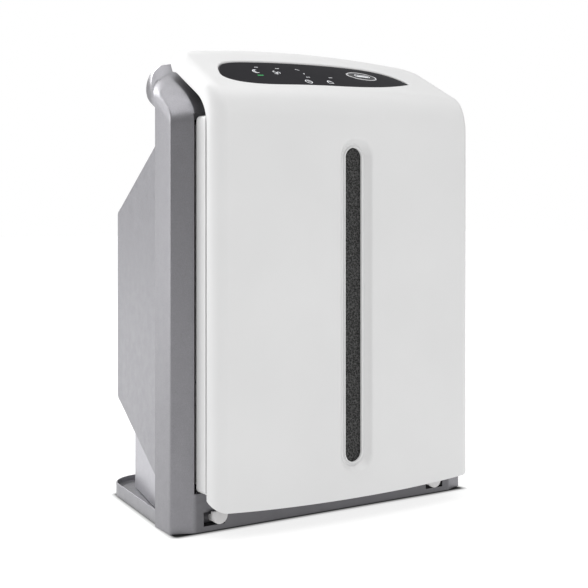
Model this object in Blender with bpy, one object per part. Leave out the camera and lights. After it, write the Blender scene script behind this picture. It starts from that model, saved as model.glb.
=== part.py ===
"""Air purifier: tilting front cover, filter stack, centrifugal fan, rear housing and cord tray.

Metres, +Z up, front towards -Y. The origin is the middle of the footprint, on the floor.
"""

import math

import bmesh
import bpy
from mathutils import Vector

# Driving dimensions ---------------------------------------------------------------------------
FRONT = -0.149          # foremost point of the front cover
REAR = 0.149            # rear of the cord tray
GAP = 0.0003            # clearance between fitted neighbours
LIFT = 0.0008           # how far the rubber feet hold the base off the floor

FRAME_FACE = -0.094     # front plane of the body frame
FRAME_REAR = -0.0413
FRAME_HALF = 0.215      # half width at the frame's corner
FRAME_FACE_HALF = 0.1884
FRAME_REAR_HALF = 0.2129
CHAMFER_SLOPE = 0.387   # the front corners fall back by this for each metre outwards
SHOULDER_Z = 0.4660     # top of the straight pillars, where the hood starts to roll back
SHOULDER_RISE = 0.0295
HOOD_CROWN = 0.0205     # the hood's middle stands this much above its ends
CONSOLE_CROWN = 0.0300  # the same for its front slope, which carries the controls
HOOD_ROUND = 0.0299
MOUTH_HALF = 0.1900     # door opening in the frame's front plane
MOUTH_DEPTH = 0.0060
MOUTH_SIDE_DEPTH = 0.0130
BAY_HALF = 0.1857       # filter bay behind the door opening
BAY_LOW = 0.0455
BAY_HIGH = 0.4765

COVER_HALF = 0.1884
COVER_LOW = 0.0245
COVER_WALL = 0.0026
COVER_ROLL = 0.0185     # width of the rolled side edge
COVER_FLAT = COVER_HALF - COVER_ROLL
COVER_BOW = 0.3355      # the front bows back by this times x squared
COVER_RIM = -0.119      # side rim of the cover
CAP_BOW = 0.28          # the same for the cap, which is flatter across
CAP_FULLNESS = 2.7      # exponent of the cap's rolled ends; the front's is 2
CAP_REAR_ROLL = 0.0220  # its rolled ends are this much wider at the rear
ROLL_END = 10           # places along the side outline where its roll and the outline end
LINE_END = 17
RIM_ROLL_Z = 0.4620     # where the rim starts to roll back over the top
RIM_ROLL_RADIUS = 0.0440

SLOT_HALF = 0.0118
SLOT_LOW = 0.0684
SLOT_HIGH = 0.442
FUNNEL_SPREAD = 0.0111  # how much wider the funnel is at the front
FUNNEL_DEPTH = 0.0100
TRIM_WALL = 0.0013
TRIM_FLANGE = 0.0080    # the trim's flange spreads this far behind the funnel
FOAM_FRONT = -0.1373
FOAM_REAR = -0.1290
GRID_REAR = -0.1255

BAND_HALF = 0.1870
BAND_LOW = 0.0469
BAND_HIGH = 0.4751
BAND_WALL = 0.0025
BAND_REAR = -0.0925
BAND_FRONT_GAP = 0.0050  # groove between the band and the cover's side rim

HINGE_Y = FRAME_FACE + 0.0030
HINGE_Z = 0.0165
FOOT_X = 0.160
FOOT_HALF = 0.0100
FOOT_LOW = 0.0093
KNUCKLE = 0.0035

LENS_X = -0.0166        # middle of the lens, whose left end is blunt and right end pointed
LENS_HALF = 0.1386
LENS_TIP_Y = -0.0920    # the right tip; the left one lies further forwards by the skew
LENS_SKEW = 0.0050
LENS_FRONT_Y = -0.1234  # foremost point of its outline
LENS_BACK_Y = -0.0600   # and rearmost
LENS_DROP = 0.0017      # lens face below the cap's surface
LENS_WALL = 0.0022
CAP_EDGE_WALL = 0.0013  # the cap is this thin round the lens
CAP_EDGE_WIDTH = 0.0060

BUTTON_X = 0.0545
BUTTON_Y = -0.0838
BUTTON_HALF = (0.0205, 0.0090)
RING_WIDTH = 0.0020     # bright ring round the power button

HOUSING_FRONT = FRAME_REAR + GAP
HOUSING_REAR = 0.126
HOUSING_WALL = 0.0026
TRAY_FLOOR = 0.0105
TRAY_TOP = 0.018

FAN_Z = 0.245
FAN_RADIUS = 0.100
FAN_FRONT = -0.006
FAN_BACK = 0.060
SCROLL_FRONT = -0.0125
SCROLL_BACK = 0.0720

WHITE = (0.86, 0.86, 0.86)
SILVER = (0.36, 0.36, 0.38)
PALE_SILVER = (0.55, 0.55, 0.58)
DARK = (0.035, 0.035, 0.04)
FOAM_GREY = (0.06, 0.06, 0.06)


# Helpers --------------------------------------------------------------------------------------
def clear_scene():
    for obj in list(bpy.data.objects):
        bpy.data.objects.remove(obj)


def material(name, colour, roughness=0.45, metallic=0.0):
    """A plain surface finish, shared by every piece that asks for the same name."""
    found = bpy.data.materials.get(name)
    if found:
        return found
    made = bpy.data.materials.new(name)
    made.use_nodes = True
    shader = made.node_tree.nodes["Principled BSDF"]
    shader.inputs["Base Color"].default_value = (*colour, 1.0)
    shader.inputs["Roughness"].default_value = roughness
    shader.inputs["Metallic"].default_value = metallic
    return made


WHITE_PLASTIC = ("white_plastic", WHITE, 0.35)
SILVER_PAINT = ("silver_paint", SILVER, 0.42, 0.3)
PALE_PAINT = ("pale_silver_paint", PALE_SILVER, 0.45, 0.3)
GREY_PLASTIC = ("grey_plastic", (0.25, 0.25, 0.27), 0.55)
BLACK_PLASTIC = ("black_plastic", DARK, 0.5)
GLOSS_BLACK = ("gloss_black", DARK, 0.12)
STEEL = ("steel", (0.6, 0.6, 0.62), 0.3, 1.0)
BOARD_GREEN = ("board_green", (0.02, 0.18, 0.07), 0.5)
RUBBER = ("rubber", (0.02, 0.02, 0.02), 0.8)


def new_object(name, mesh_data, finish, smooth_angle=35):
    """Turns a bmesh into a named object with outward normals, sharp above smooth_angle degrees."""
    bmesh.ops.recalc_face_normals(mesh_data, faces=mesh_data.faces)
    mesh = bpy.data.meshes.new(name)
    mesh_data.to_mesh(mesh)
    mesh_data.free()
    mesh.shade_smooth()
    mesh.set_sharp_from_angle(angle=math.radians(smooth_angle))
    obj = bpy.data.objects.new(name, mesh)
    bpy.context.scene.collection.objects.link(obj)
    obj.data.materials.append(material(*finish))
    return obj


def add_box(mesh_data, low, high):
    """Adds a box between two corners to a bmesh."""
    centre = [(a + b) / 2 for a, b in zip(low, high)]
    size = [b - a for a, b in zip(low, high)]
    made = bmesh.ops.create_cube(mesh_data, size=1.0)["verts"]
    bmesh.ops.scale(mesh_data, vec=size, verts=made)
    bmesh.ops.translate(mesh_data, vec=centre, verts=made)


def boxes(name, corner_pairs, finish):
    """One object made of one or more separate boxes."""
    mesh_data = bmesh.new()
    for low, high in corner_pairs:
        add_box(mesh_data, low, high)
    return new_object(name, mesh_data, finish)


def pair(name, low, high, finish):
    """A right-hand box and its mirror image, as two objects."""
    right = boxes("right_" + name, [(low, high)], finish)
    left = boxes("left_" + name, [((-high[0], low[1], low[2]), (-low[0], high[1], high[2]))],
                 finish)
    return right, left


def disc(name, centre, radius, depth, axis, finish, top_radius=None, segments=12):
    """A short round piece centred on a point, along 'Y' or 'Z'."""
    profile = [(radius, -depth / 2), (top_radius or radius, depth / 2)]
    return turned(name, profile, centre, axis, finish, segments, closed=False)


def add_loft(mesh_data, loops, closed=False):
    """Skins a row of matching loops of points; open rows are capped at both ends."""
    rings = [[mesh_data.verts.new(point) for point in loop] for loop in loops]
    pairs = list(zip(rings, rings[1:]))
    if closed:
        pairs.append((rings[-1], rings[0]))
    for ring, following in pairs:
        for i in range(len(ring)):
            j = (i + 1) % len(ring)
            mesh_data.faces.new((ring[i], ring[j], following[j], following[i]))
    if not closed:
        mesh_data.faces.new(reversed(rings[0]))
        mesh_data.faces.new(rings[-1])


def loft(name, loops, finish, closed=False, smooth_angle=35):
    mesh_data = bmesh.new()
    add_loft(mesh_data, loops, closed)
    return new_object(name, mesh_data, finish, smooth_angle)


def shell(name, outside, inside, finish):
    """A closed wall between two matching grids of points, joined along their four borders."""
    mesh_data = bmesh.new()
    outer = [[mesh_data.verts.new(point) for point in row] for row in outside]
    inner = [[mesh_data.verts.new(point) for point in row] for row in inside]
    rows, columns = len(outer), len(outer[0])
    for i in range(rows - 1):
        for j in range(columns - 1):
            for grid in (outer, inner):
                mesh_data.faces.new((grid[i][j], grid[i + 1][j], grid[i + 1][j + 1],
                                     grid[i][j + 1]))
    border = [(i, 0) for i in range(rows)] + [(rows - 1, j) for j in range(1, columns)]
    border += [(i, columns - 1) for i in reversed(range(rows - 1))]
    border += [(0, j) for j in reversed(range(1, columns - 1))]
    for (i, j), (k, m) in zip(border, border[1:] + border[:1]):
        mesh_data.faces.new((outer[i][j], outer[k][m], inner[k][m], inner[i][j]))
    return new_object(name, mesh_data, finish)


def turned(name, profile, centre, axis, finish, segments=32, closed=True):
    """Turns (radius, along) points about an axis through centre: 'Y' or 'Z'.

    A closed profile makes a ring; an open one is capped by discs at its ends.
    """
    loops = []
    for radius, along in profile:
        loop = []
        for i in range(segments):
            angle = 2 * math.pi * i / segments
            across, up = radius * math.cos(angle), radius * math.sin(angle)
            offset = Vector((across, along, up)) if axis == "Y" else Vector((across, up, along))
            loop.append(Vector(centre) + offset)
        loops.append(loop)
    return loft(name, loops, finish, closed)


def stadium(half, low, high, y, steps=10):
    """An upright slot outline with round ends, as points at depth y."""
    points = []
    for centre_z, start in ((high - half, 0.0), (low + half, math.pi)):
        for i in range(steps + 1):
            angle = start + math.pi * i / steps
            points.append((half * math.cos(angle), y, centre_z + half * math.sin(angle)))
    return points


def rounded_rect(half_x, low, high, radius, y, steps=4):
    """An upright rectangle with round corners, as points at depth y."""
    corners = (
        (half_x - radius, high - radius, 0.0),
        (-half_x + radius, high - radius, 0.5),
        (-half_x + radius, low + radius, 1.0),
        (half_x - radius, low + radius, 1.5),
    )
    points = []
    for cx, cz, turn in corners:
        for i in range(steps + 1):
            angle = math.pi * (turn + 0.5 * i / steps)
            points.append((cx + radius * math.cos(angle), y, cz + radius * math.sin(angle)))
    return points


def as_cutter(obj):
    obj.hide_render = True
    obj.display_type = "WIRE"
    return obj


def cut(obj, cutter, operation="DIFFERENCE"):
    """Applies a Boolean to obj and removes the second shape."""
    modifier = obj.modifiers.new("cut", "BOOLEAN")
    modifier.operation = operation
    modifier.object = as_cutter(cutter)
    modifier.solver = "EXACT"
    graph = bpy.context.evaluated_depsgraph_get()
    mesh = bpy.data.meshes.new_from_object(obj.evaluated_get(graph))
    obj.modifiers.clear()
    obj.data = mesh
    bpy.data.objects.remove(cutter)
    obj.data.shade_smooth()
    obj.data.set_sharp_from_angle(angle=math.radians(35))
    return obj


def move_origin(obj, point):
    """Puts the object's origin on its joint without moving its mesh in the world."""
    for vertex in obj.data.vertices:
        vertex.co -= Vector(point)
    obj.location = point


# Front cover ----------------------------------------------------------------------------------
def side_profile(face_y, roll_z, roll_radius, slope, slope_run, crest_radius, low):
    """Outline of the cover in the (y, z) plane, from its bottom edge to the rear of its cap.

    It rises, rolls back to a slope in degrees, runs along it and flattens over a crest.
    """
    points = [(face_y, low + (roll_z - low) * i / 4) for i in range(4)]
    turn = math.radians(90 - slope)
    for i in range(7):
        angle = turn * i / 6
        points.append((
            face_y + roll_radius * (1 - math.cos(angle)),
            roll_z + roll_radius * math.sin(angle),
        ))
    y, z = points[-1]
    tilt = math.radians(slope)
    for i in range(1, 4):
        run = slope_run * i / 3
        points.append((y + run * math.cos(tilt), z + run * math.sin(tilt)))
    y, z = points[-1]
    last = math.radians(4)
    for i in range(1, 5):
        angle = tilt + (last - tilt) * i / 4
        points.append((
            y + crest_radius * (math.sin(tilt) - math.sin(angle)),
            z + crest_radius * (math.cos(angle) - math.cos(tilt)),
        ))
    return points


def middle_profile(inset=0.0):
    """The cover's outline on its middle plane, or one set in by a distance from it."""
    return side_profile(
        FRONT + inset, 0.4758, 0.0458 - inset, 27, 0.0898, 0.095 - inset, COVER_LOW
    )


def rim_lean(z):
    """How far the side rim has rolled back at height z, within its first roll."""
    rise = min(max(z - RIM_ROLL_Z, 0.0), RIM_ROLL_RADIUS)
    return RIM_ROLL_RADIUS - math.sqrt(RIM_ROLL_RADIUS**2 - rise * rise)


def rim_profile():
    """The outline of the cover's side rim."""
    return side_profile(COVER_RIM, RIM_ROLL_Z, RIM_ROLL_RADIUS, 30, 0.0520, 0.030,
                        COVER_LOW + COVER_ROLL)


def bulge(x, place):
    """How far a section at x stands out from the rim towards the middle outline, 0 to 1.

    The side rolls are tightest at the front, fuller over the shoulder and widest behind.
    """
    depth = COVER_RIM - FRONT
    over = min(max((place - 5) / 5, 0.0), 1.0)
    over = over * over * (3 - 2 * over)
    behind = max(0.0, place - ROLL_END) / (LINE_END - ROLL_END)
    bow = COVER_BOW + (CAP_BOW - COVER_BOW) * over
    power = 2 + (CAP_FULLNESS - 2) * over * (1 - behind)
    roll = COVER_ROLL + CAP_REAR_ROLL * behind
    flat = COVER_HALF - roll
    if abs(x) <= flat:
        return 1 - bow * x * x / depth
    across = min((abs(x) - flat) / roll, 1.0)
    return (1 - bow * flat**2 / depth) * (1 - across**power)**(1 / power)


def cover_point(x, share, inset=0.0):
    """A point of the cover's surface at x, share (0 to 1) of the way along the outline."""
    middle, rim = middle_profile(inset), rim_profile()
    place = share * (len(middle) - 1)
    i = min(int(place), len(middle) - 2)
    part = place - i
    out = bulge(x, place)
    along = []
    for k in (0, 1):
        inner = middle[i][k] + (middle[i + 1][k] - middle[i][k]) * part
        outer = rim[i][k] + (rim[i + 1][k] - rim[i][k]) * part
        along.append(outer + (inner - outer) * out)
    return (x, along[0], along[1])


def cap_height(x, y):
    """Height of the cap's outer surface above a point of the plan."""
    low, high = 0.2, 1.0
    for _ in range(40):
        share = (low + high) / 2
        if cover_point(x, share)[1] < y:
            low = share
        else:
            high = share
    return cover_point(x, share)[2]


def cover_stations(steps_flat=12, steps_roll=5):
    """Places across the cover where its sections are taken, close together on the rolls."""
    roll = [COVER_FLAT + COVER_ROLL * math.sin(math.pi / 2 * i / steps_roll)
            for i in range(1, steps_roll + 1)]
    flat = [-COVER_FLAT + 2 * COVER_FLAT * i / steps_flat for i in range(steps_flat + 1)]
    return [-x for x in reversed(roll)] + flat + roll


def build_front_cover():
    stations = cover_stations()
    count = len(middle_profile())
    narrow = (COVER_HALF - COVER_WALL) / COVER_HALF
    outside = [[cover_point(x, i / (count - 1)) for i in range(count)] for x in stations]
    inside = [[(x * narrow, *cover_point(x, i / (count - 1), COVER_WALL)[1:])
               for i in range(count)] for x in stations]
    cover = shell("front_cover", outside, inside, WHITE_PLASTIC)

    funnel_half = SLOT_HALF + FUNNEL_SPREAD
    opening = loft("slot_cutter", [
        stadium(funnel_half, SLOT_LOW - FUNNEL_SPREAD, SLOT_HIGH + FUNNEL_SPREAD, y)
        for y in (FRONT - 0.01, FRONT + 0.012)
    ], WHITE_PLASTIC)
    cut(cover, opening)
    rings = []
    steps = 4
    mouth = SLOT_HALF + 0.0031
    for i in range(steps + 1):
        turn = math.pi / 2 * i / steps
        spread = (funnel_half - mouth) * (1 - math.sin(turn))
        rings.append((mouth + spread, FRONT + 0.0004 + FUNNEL_DEPTH * (1 - math.cos(turn))))
    rings += [(mouth + 0.0020, FRONT + FUNNEL_DEPTH + 0.0004),
              (funnel_half + 0.0012, FRONT + 0.0038),
              (funnel_half + 0.0012, FRONT + 0.0010)]
    funnel = loft("slot_funnel", [
        stadium(half, SLOT_LOW - half + SLOT_HALF, SLOT_HIGH + half - SLOT_HALF, y)
        for half, y in rings
    ], WHITE_PLASTIC, closed=True)
    cut(cover, funnel, "UNION")
    cut(cover, lens_solid("edge_cutter", CAP_EDGE_WIDTH, -CAP_EDGE_WALL, -0.012))
    cut(cover, lens_solid("lens_cutter", 0.0012, 0.012, -0.012))
    move_origin(cover, (0.0, HINGE_Y, HINGE_Z))


def build_intake_trim():
    outer, flange = SLOT_HALF + TRIM_WALL, SLOT_HALF + TRIM_FLANGE
    front, back = FRONT + FUNNEL_DEPTH - 0.0017, FOAM_FRONT - GAP
    step = FRONT + FUNNEL_DEPTH + 0.0007
    rings = ((SLOT_HALF, front), (SLOT_HALF, back), (flange, back), (flange, step),
             (outer, step), (outer, front))
    trim = loft("intake_trim", [
        stadium(half, SLOT_LOW + SLOT_HALF - half, SLOT_HIGH - SLOT_HALF + half, y)
        for half, y in rings
    ], WHITE_PLASTIC, closed=True)
    move_origin(trim, (0.0, HINGE_Y, HINGE_Z))


def build_door_band():
    inner_top = BAND_HIGH - BAND_WALL
    rings = []
    for wall, y in ((0.0, COVER_RIM), (0.0, BAND_REAR), (BAND_WALL, BAND_REAR),
                    (BAND_WALL, COVER_RIM)):
        ring = rounded_rect(BAND_HALF - wall, BAND_LOW + wall, BAND_HIGH - wall, 0.006 - wall, y, 3)
        if y == COVER_RIM:
            ring = [(x, y + BAND_FRONT_GAP + rim_lean(z), z) for x, y, z in ring]
        rings.append(ring)
    band = loft("door_band", rings, WHITE_PLASTIC, closed=True)
    move_origin(band, (0.0, HINGE_Y, HINGE_Z))
    for magnet in pair("cover_magnet", (0.110, BAND_REAR - 0.006, inner_top - GAP - 0.005),
                       (0.130, BAND_REAR - 0.0005, inner_top - GAP), STEEL):
        move_origin(magnet, (0.0, HINGE_Y, HINGE_Z))


def build_prefilter():
    low, high = 0.052, 0.462
    foam = boxes("prefilter_foam", [((-0.152, FOAM_FRONT, low), (0.152, FOAM_REAR, high))],
                 ("foam", FOAM_GREY, 0.95))
    grid = boxes("prefilter_grid", [((-0.160, FOAM_REAR + GAP, low - 0.005),
                                     (0.160, GRID_REAR, high + 0.004))], GREY_PLASTIC)
    holes = bmesh.new()
    columns, rows = 4, 6
    width, height = 0.306 / columns, (high - low + 0.001) / rows
    for i in range(columns):
        for j in range(rows):
            left, bottom = -0.153 + i * width, low - 0.001 + j * height
            add_box(holes, (left + 0.002, -0.130, bottom + 0.002),
                    (left + width - 0.002, -0.120, bottom + height - 0.002))
    cut(grid, new_object("grid_cutter", holes, GREY_PLASTIC))
    for piece in (foam, grid):
        move_origin(piece, (0.0, HINGE_Y, HINGE_Z))


def build_hinge_foot(name, centre_x):
    """A half-round tab below the cover, with a round knuckle inside the sill."""
    steps = 10
    plate = []
    for y in (FRAME_FACE - 0.0066, FRAME_FACE - 0.0024):
        loop = [(centre_x + FOOT_HALF, y, COVER_LOW - GAP)]
        for i in range(steps + 1):
            angle = math.pi * i / steps
            loop.append((centre_x + FOOT_HALF * math.cos(angle), y,
                         FOOT_LOW + FOOT_HALF * (1 - math.sin(angle))))
        loop.append((centre_x - FOOT_HALF, y, COVER_LOW - GAP))
        plate.append(loop)
    foot = loft(name, plate, WHITE_PLASTIC)
    loops = []
    for x in (centre_x - 0.0085, centre_x + 0.0085):
        loop = [(x, FRAME_FACE - 0.0030, HINGE_Z - KNUCKLE)]
        for i in range(9):
            angle = math.pi * (i / 8 - 0.5)
            loop.append((x, HINGE_Y + KNUCKLE * math.cos(angle),
                         HINGE_Z + KNUCKLE * math.sin(angle)))
        loop.append((x, FRAME_FACE - 0.0030, HINGE_Z + KNUCKLE))
        loops.append(loop)
    cut(foot, loft("knuckle_shape", loops, WHITE_PLASTIC), "UNION")
    move_origin(foot, (0.0, HINGE_Y, HINGE_Z))


# Control panel --------------------------------------------------------------------------------
def lens_edges(x, grow=0.0):
    """Front and rear y of the lens outline at x; grow widens it all round."""
    share = min(abs(x - LENS_X) / (LENS_HALF + max(grow, 0.0)), 1.0)
    if x < LENS_X:
        tip, front, back = LENS_TIP_Y - LENS_SKEW * share**2, (1 - share**6)**0.6, (1 - share**12)**0.9
    else:
        tip, front, back = LENS_TIP_Y, 1 - share**2.2, (1 - share**6)**0.55
    return (tip + (LENS_FRONT_Y - tip) * front - grow, tip + (LENS_BACK_Y - tip) * back + grow)


def lens_solid(name, grow, above, below, finish=GLOSS_BLACK, steps=26):
    """A slab with the lens outline, between two offsets from the cap's surface."""
    loops = []
    half = LENS_HALF + (grow if grow > 0 else 6 * grow)
    for i in range(steps + 1):
        x = LENS_X + half * 0.998 * math.sin(math.pi * (i / steps - 0.5))
        front, back = lens_edges(x, grow)
        row = [front + (back - front) * j / 6 for j in range(7)]
        top = [(x, y, cap_height(x, y) + above) for y in row]
        bottom = [(x, y, cap_height(x, y) + below) for y in reversed(row)]
        loops.append(top + bottom)
    return loft(name, loops, finish)


def button_loop(grow, offset, steps=20):
    """An oval round the power button, offset outwards from the cap's surface."""
    loop = []
    axis = press_axis()
    for i in range(steps):
        angle = 2 * math.pi * i / steps
        x = BUTTON_X + (BUTTON_HALF[0] + grow) * math.cos(angle)
        y = BUTTON_Y + (BUTTON_HALF[1] + grow) * math.sin(angle)
        loop.append(Vector((x, y, cap_height(x, y))) - axis * offset)
    return loop


def press_axis():
    """Direction that the power button travels: into the cap, square to its slope."""
    reach = 0.004
    rise = cap_height(BUTTON_X, BUTTON_Y + reach) - cap_height(BUTTON_X, BUTTON_Y - reach)
    return Vector((0.0, rise, -2 * reach)).normalized()


def build_controls():
    lens = lens_solid("control_lens", 0.0, -LENS_DROP, -LENS_DROP - LENS_WALL)
    cut(lens, loft("ring_cutter", [button_loop(RING_WIDTH + GAP, -0.020),
                                   button_loop(RING_WIDTH + GAP, 0.010)], GLOSS_BLACK))
    rings = [button_loop(grow, offset) for grow, offset in (
        (GAP, -LENS_DROP + 0.0006), (GAP, -LENS_DROP - 0.0040),
        (RING_WIDTH, -LENS_DROP - 0.0040), (RING_WIDTH, -LENS_DROP + 0.0006),
    )]
    loft("button_ring", rings, ("chrome", (0.8, 0.8, 0.8), 0.15, 1.0), closed=True)
    button = loft("power_button", [button_loop(-0.0001, -LENS_DROP - 0.0045),
                                   button_loop(-0.0001, -LENS_DROP + 0.0002),
                                   button_loop(-0.0012, -LENS_DROP + 0.0008)], BLACK_PLASTIC)
    move_origin(button, (BUTTON_X, BUTTON_Y, cap_height(BUTTON_X, BUTTON_Y) - LENS_DROP))
    housing_top = -LENS_DROP - LENS_WALL - GAP
    housing = lens_solid("control_housing", -0.004, housing_top, housing_top - 0.016,
                         BLACK_PLASTIC, 10)
    cut(housing, lens_solid("housing_cutter", -0.0065, housing_top + 0.004,
                            housing_top - 0.0140, BLACK_PLASTIC, 10))
    lens_solid("control_board", -0.0095, housing_top - 0.0085, housing_top - 0.0101,
               BOARD_GREEN, 8)
    board_offset = (housing_top - 0.0085) * -press_axis().z
    loft("button_switch", [button_loop(-0.0040, board_offset + 2 * GAP, 12),
                           button_loop(-0.0040, -LENS_DROP - 0.0060, 12)], BLACK_PLASTIC)


# Body frame and base --------------------------------------------------------------------------
def hood_outline(x):
    """The hood's full side outline at x: up under the cap, over the rear lip and back again."""
    rise = 1 - (x / FRAME_REAR_HALF)**2
    crown, console = HOOD_CROWN * rise, CONSOLE_CROWN * rise
    steps = 6
    points = []
    for i in range(steps + 1):
        turn = math.pi / 2 * i / steps
        lead = 0.25 * math.sin(turn) + 0.75 * i / steps
        points.append((FRAME_FACE + 0.078 * (1 - math.cos(turn)) - 0.35 * console * lead,
                       SHOULDER_Z + 0.0575 * lead + console * lead))
    middle_y, middle_z = FRAME_FACE + 0.0900, 0.5200 + 0.5 * crown
    for i in range(7):
        angle = math.radians(100 - 190 * i / 6)
        points.append((middle_y + 0.0195 * math.cos(angle),
                       middle_z + (0.0165 + 0.5 * crown) * math.sin(angle)))
    points.append((FRAME_REAR, 0.4960))
    return points


def frame_section(x):
    """Side outline of the whole frame at x, from the sill to the hood."""
    out = abs(x)
    front = FRAME_FACE + max(0.0, out - FRAME_FACE_HALF) * CHAMFER_SLOPE
    rear = FRAME_REAR
    shoulder_rise = SHOULDER_RISE
    if out > FRAME_REAR_HALF:
        rear, shoulder_rise = front + 0.0004, 0.001
    across = max(0.0, out - FRAME_REAR_HALF + HOOD_ROUND) / HOOD_ROUND
    share = math.sqrt(max(0.0, 1 - across * across))
    hood = hood_outline(x)
    points = []
    for i, (y, z) in enumerate(hood):
        turn = math.pi / 2 * min(i / 6, 1.0)
        side_y = front + (rear - front) * (1 - math.cos(turn))
        side_z = SHOULDER_Z + shoulder_rise * (math.sin(turn) - 0.04 * max(0, i - 6))
        offset = front - FRAME_FACE if i < 5 else 0.0
        points.append((side_y + (y + offset - side_y) * share, side_z + (z - side_z) * share))
    points = [(front, LIFT), (front, 0.5 * SHOULDER_Z)] + points
    points += [(rear, 0.5 * SHOULDER_Z), (rear, LIFT)]
    return [(x, y, z) for y, z in points]


def build_body_frame():
    ends = [FRAME_REAR_HALF - HOOD_ROUND, FRAME_FACE_HALF, 0.1960, 0.2030, 0.2080, 0.2112,
            FRAME_REAR_HALF, FRAME_HALF]
    middle = [ends[0] * i / 4 for i in range(-3, 4)]
    stations = [-x for x in reversed(ends)] + middle + ends
    frame = loft("body_frame", [frame_section(x) for x in stations], SILVER_PAINT)
    door_mouth = ((-MOUTH_HALF, FRAME_FACE - 0.02, BAY_LOW),
                  (MOUTH_HALF, FRAME_FACE + MOUTH_DEPTH, BAY_HIGH + 0.0015))
    bay = ((-BAY_HALF, FRAME_FACE + 0.002, BAY_LOW + 0.003),
           (BAY_HALF, FRAME_REAR - 0.0015, BAY_HIGH - 0.006))
    window = ((-0.180, FRAME_REAR - 0.01, 0.066), (0.180, FRAME_REAR + 0.01, 0.437))
    sill = ((-0.140, FRAME_FACE + 0.004, LIFT - 0.01), (0.140, FRAME_REAR - 0.004, 0.0425))
    hollows = [door_mouth, bay, window, sill]
    for side in (-1, 1):
        left, right = sorted((side * (BAY_HALF - 0.001), side * MOUTH_HALF))
        hollows.append(((left, FRAME_FACE, BAY_LOW),
                        (right, FRAME_FACE + MOUTH_SIDE_DEPTH, BAY_HIGH - 0.006)))
        left, right = sorted((side * 0.1500, side * 0.1780))
        hollows.append(((left, FRAME_FACE - 0.01, 0.0074), (right, FRAME_FACE + 0.014, 0.0235)))
        left, right = sorted((side * 0.1890, side * 0.2103))
        hollows.append(((left, FRAME_FACE + 0.015, LIFT - 0.01),
                        (right, FRAME_REAR - 0.003, 0.460)))
    for low, high in hollows:
        cut(frame, boxes("hollow_cutter", [(low, high)], SILVER_PAINT))
    cut(frame, lens_solid("well_cutter", 0.0, 0.03, -0.029, SILVER_PAINT, 10))
    cavity = []
    for x in (-0.178, -0.12, -0.06, 0.0, 0.06, 0.12, 0.178):
        crown = HOOD_CROWN * (1 - (x / FRAME_REAR_HALF)**2)
        cavity.append([(x, y, z) for y, z in (
            (-0.0800, 0.4680), (-0.0780, 0.4830), (-0.0560, 0.5000),
            (-0.0160, 0.5120 + 0.8 * crown), (-0.0080, 0.5325 + crown), (0.0010, 0.5325 + crown),
            (0.0105, 0.5200 + 0.5 * crown), (0.0000, 0.5072), (-0.0440, 0.5000),
            (-0.0440, 0.4680))])
    cut(frame, loft("hood_cutter", cavity, SILVER_PAINT))


def tray_half(y):
    return 0.2080 - 0.0185 * (y + 0.0300) / 0.1290


def tray_outline(inset, z, front=FRAME_REAR + GAP):
    """Plan outline of the cord tray, with two large rear corners."""
    radius = 0.045 - inset
    rear = REAR - inset
    turn_y = rear - radius
    right = [(tray_half(front) - inset, front, z)]
    for i in range(7):
        angle = math.pi / 2 * i / 6
        edge = tray_half(turn_y) - inset
        right.append((edge - radius + radius * math.cos(angle),
                      turn_y + radius * math.sin(angle), z))
    return right + [(-x, y, z) for x, y, z in reversed(right)]


def build_base_tray():
    tray = loft("base_tray", [tray_outline(0.0015, LIFT), tray_outline(0.0, LIFT + 0.003),
                              tray_outline(0.0, TRAY_TOP)], SILVER_PAINT)
    cut(tray, loft("tray_cutter", [tray_outline(0.0028, TRAY_FLOOR, FRAME_REAR - 0.02),
                                   tray_outline(0.0022, TRAY_TOP + 0.01, FRAME_REAR - 0.02)],
                   SILVER_PAINT))


def build_rubber_feet():
    height = LIFT - GAP / 2
    for place, y, x in (("front", FRAME_FACE + 0.016, 0.150), ("rear", 0.095, 0.130)):
        for side, sign in (("left", -1), ("right", 1)):
            disc(f"{place}_{side}_foot", (sign * x, y, height / 2), 0.0085, height, "Z", RUBBER,
                 segments=20)


# Rear housing ---------------------------------------------------------------------------------
def housing_loop(y, wall=0.0):
    """Section of the rear housing at depth y, set in by the wall."""
    reach = HOUSING_REAR - 0.007
    share = min((y - HOUSING_FRONT) / (reach - HOUSING_FRONT), 1.0)
    half = 0.2110 - 0.0275 * share
    low = 0.0480 + 0.0700 * share
    high = 0.4535 - 0.0805 * share
    past = max(0.0, y - reach) / 0.007
    tuck = 0.007 * (1 - math.sqrt(max(0.0, 1 - past * past)))
    return rounded_rect(half - wall - tuck, low + wall + tuck, high - wall - tuck,
                        0.012 - wall, y, 4)


def build_rear_housing():
    outer = [housing_loop(y) for y in (HOUSING_FRONT, 0.119, 0.1225, 0.125, HOUSING_REAR)]
    inner_rear = HOUSING_REAR - HOUSING_WALL
    inner = [housing_loop(y, HOUSING_WALL) for y in (HOUSING_FRONT, 0.119, inner_rear)]
    mesh_data = bmesh.new()
    rings = [[mesh_data.verts.new(p) for p in loop] for loop in inner[::-1] + outer]
    for ring, following in zip(rings, rings[1:]):
        for i in range(len(ring)):
            j = (i + 1) % len(ring)
            mesh_data.faces.new((ring[i], ring[j], following[j], following[i]))
    mesh_data.faces.new(rings[0])
    mesh_data.faces.new(rings[-1])
    housing = new_object("rear_housing", mesh_data, PALE_PAINT)
    slope = bmesh.new()
    add_box(slope, (-0.150, -0.004, 0.33), (0.150, 0.104, 0.48))
    cut(housing, new_object("vent_cutter", slope, PALE_PAINT))


def slope_height(y):
    """Height of the housing's sloping top at depth y."""
    share = (y - HOUSING_FRONT) / (HOUSING_REAR - 0.007 - HOUSING_FRONT)
    return 0.4535 - 0.0805 * share


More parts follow.
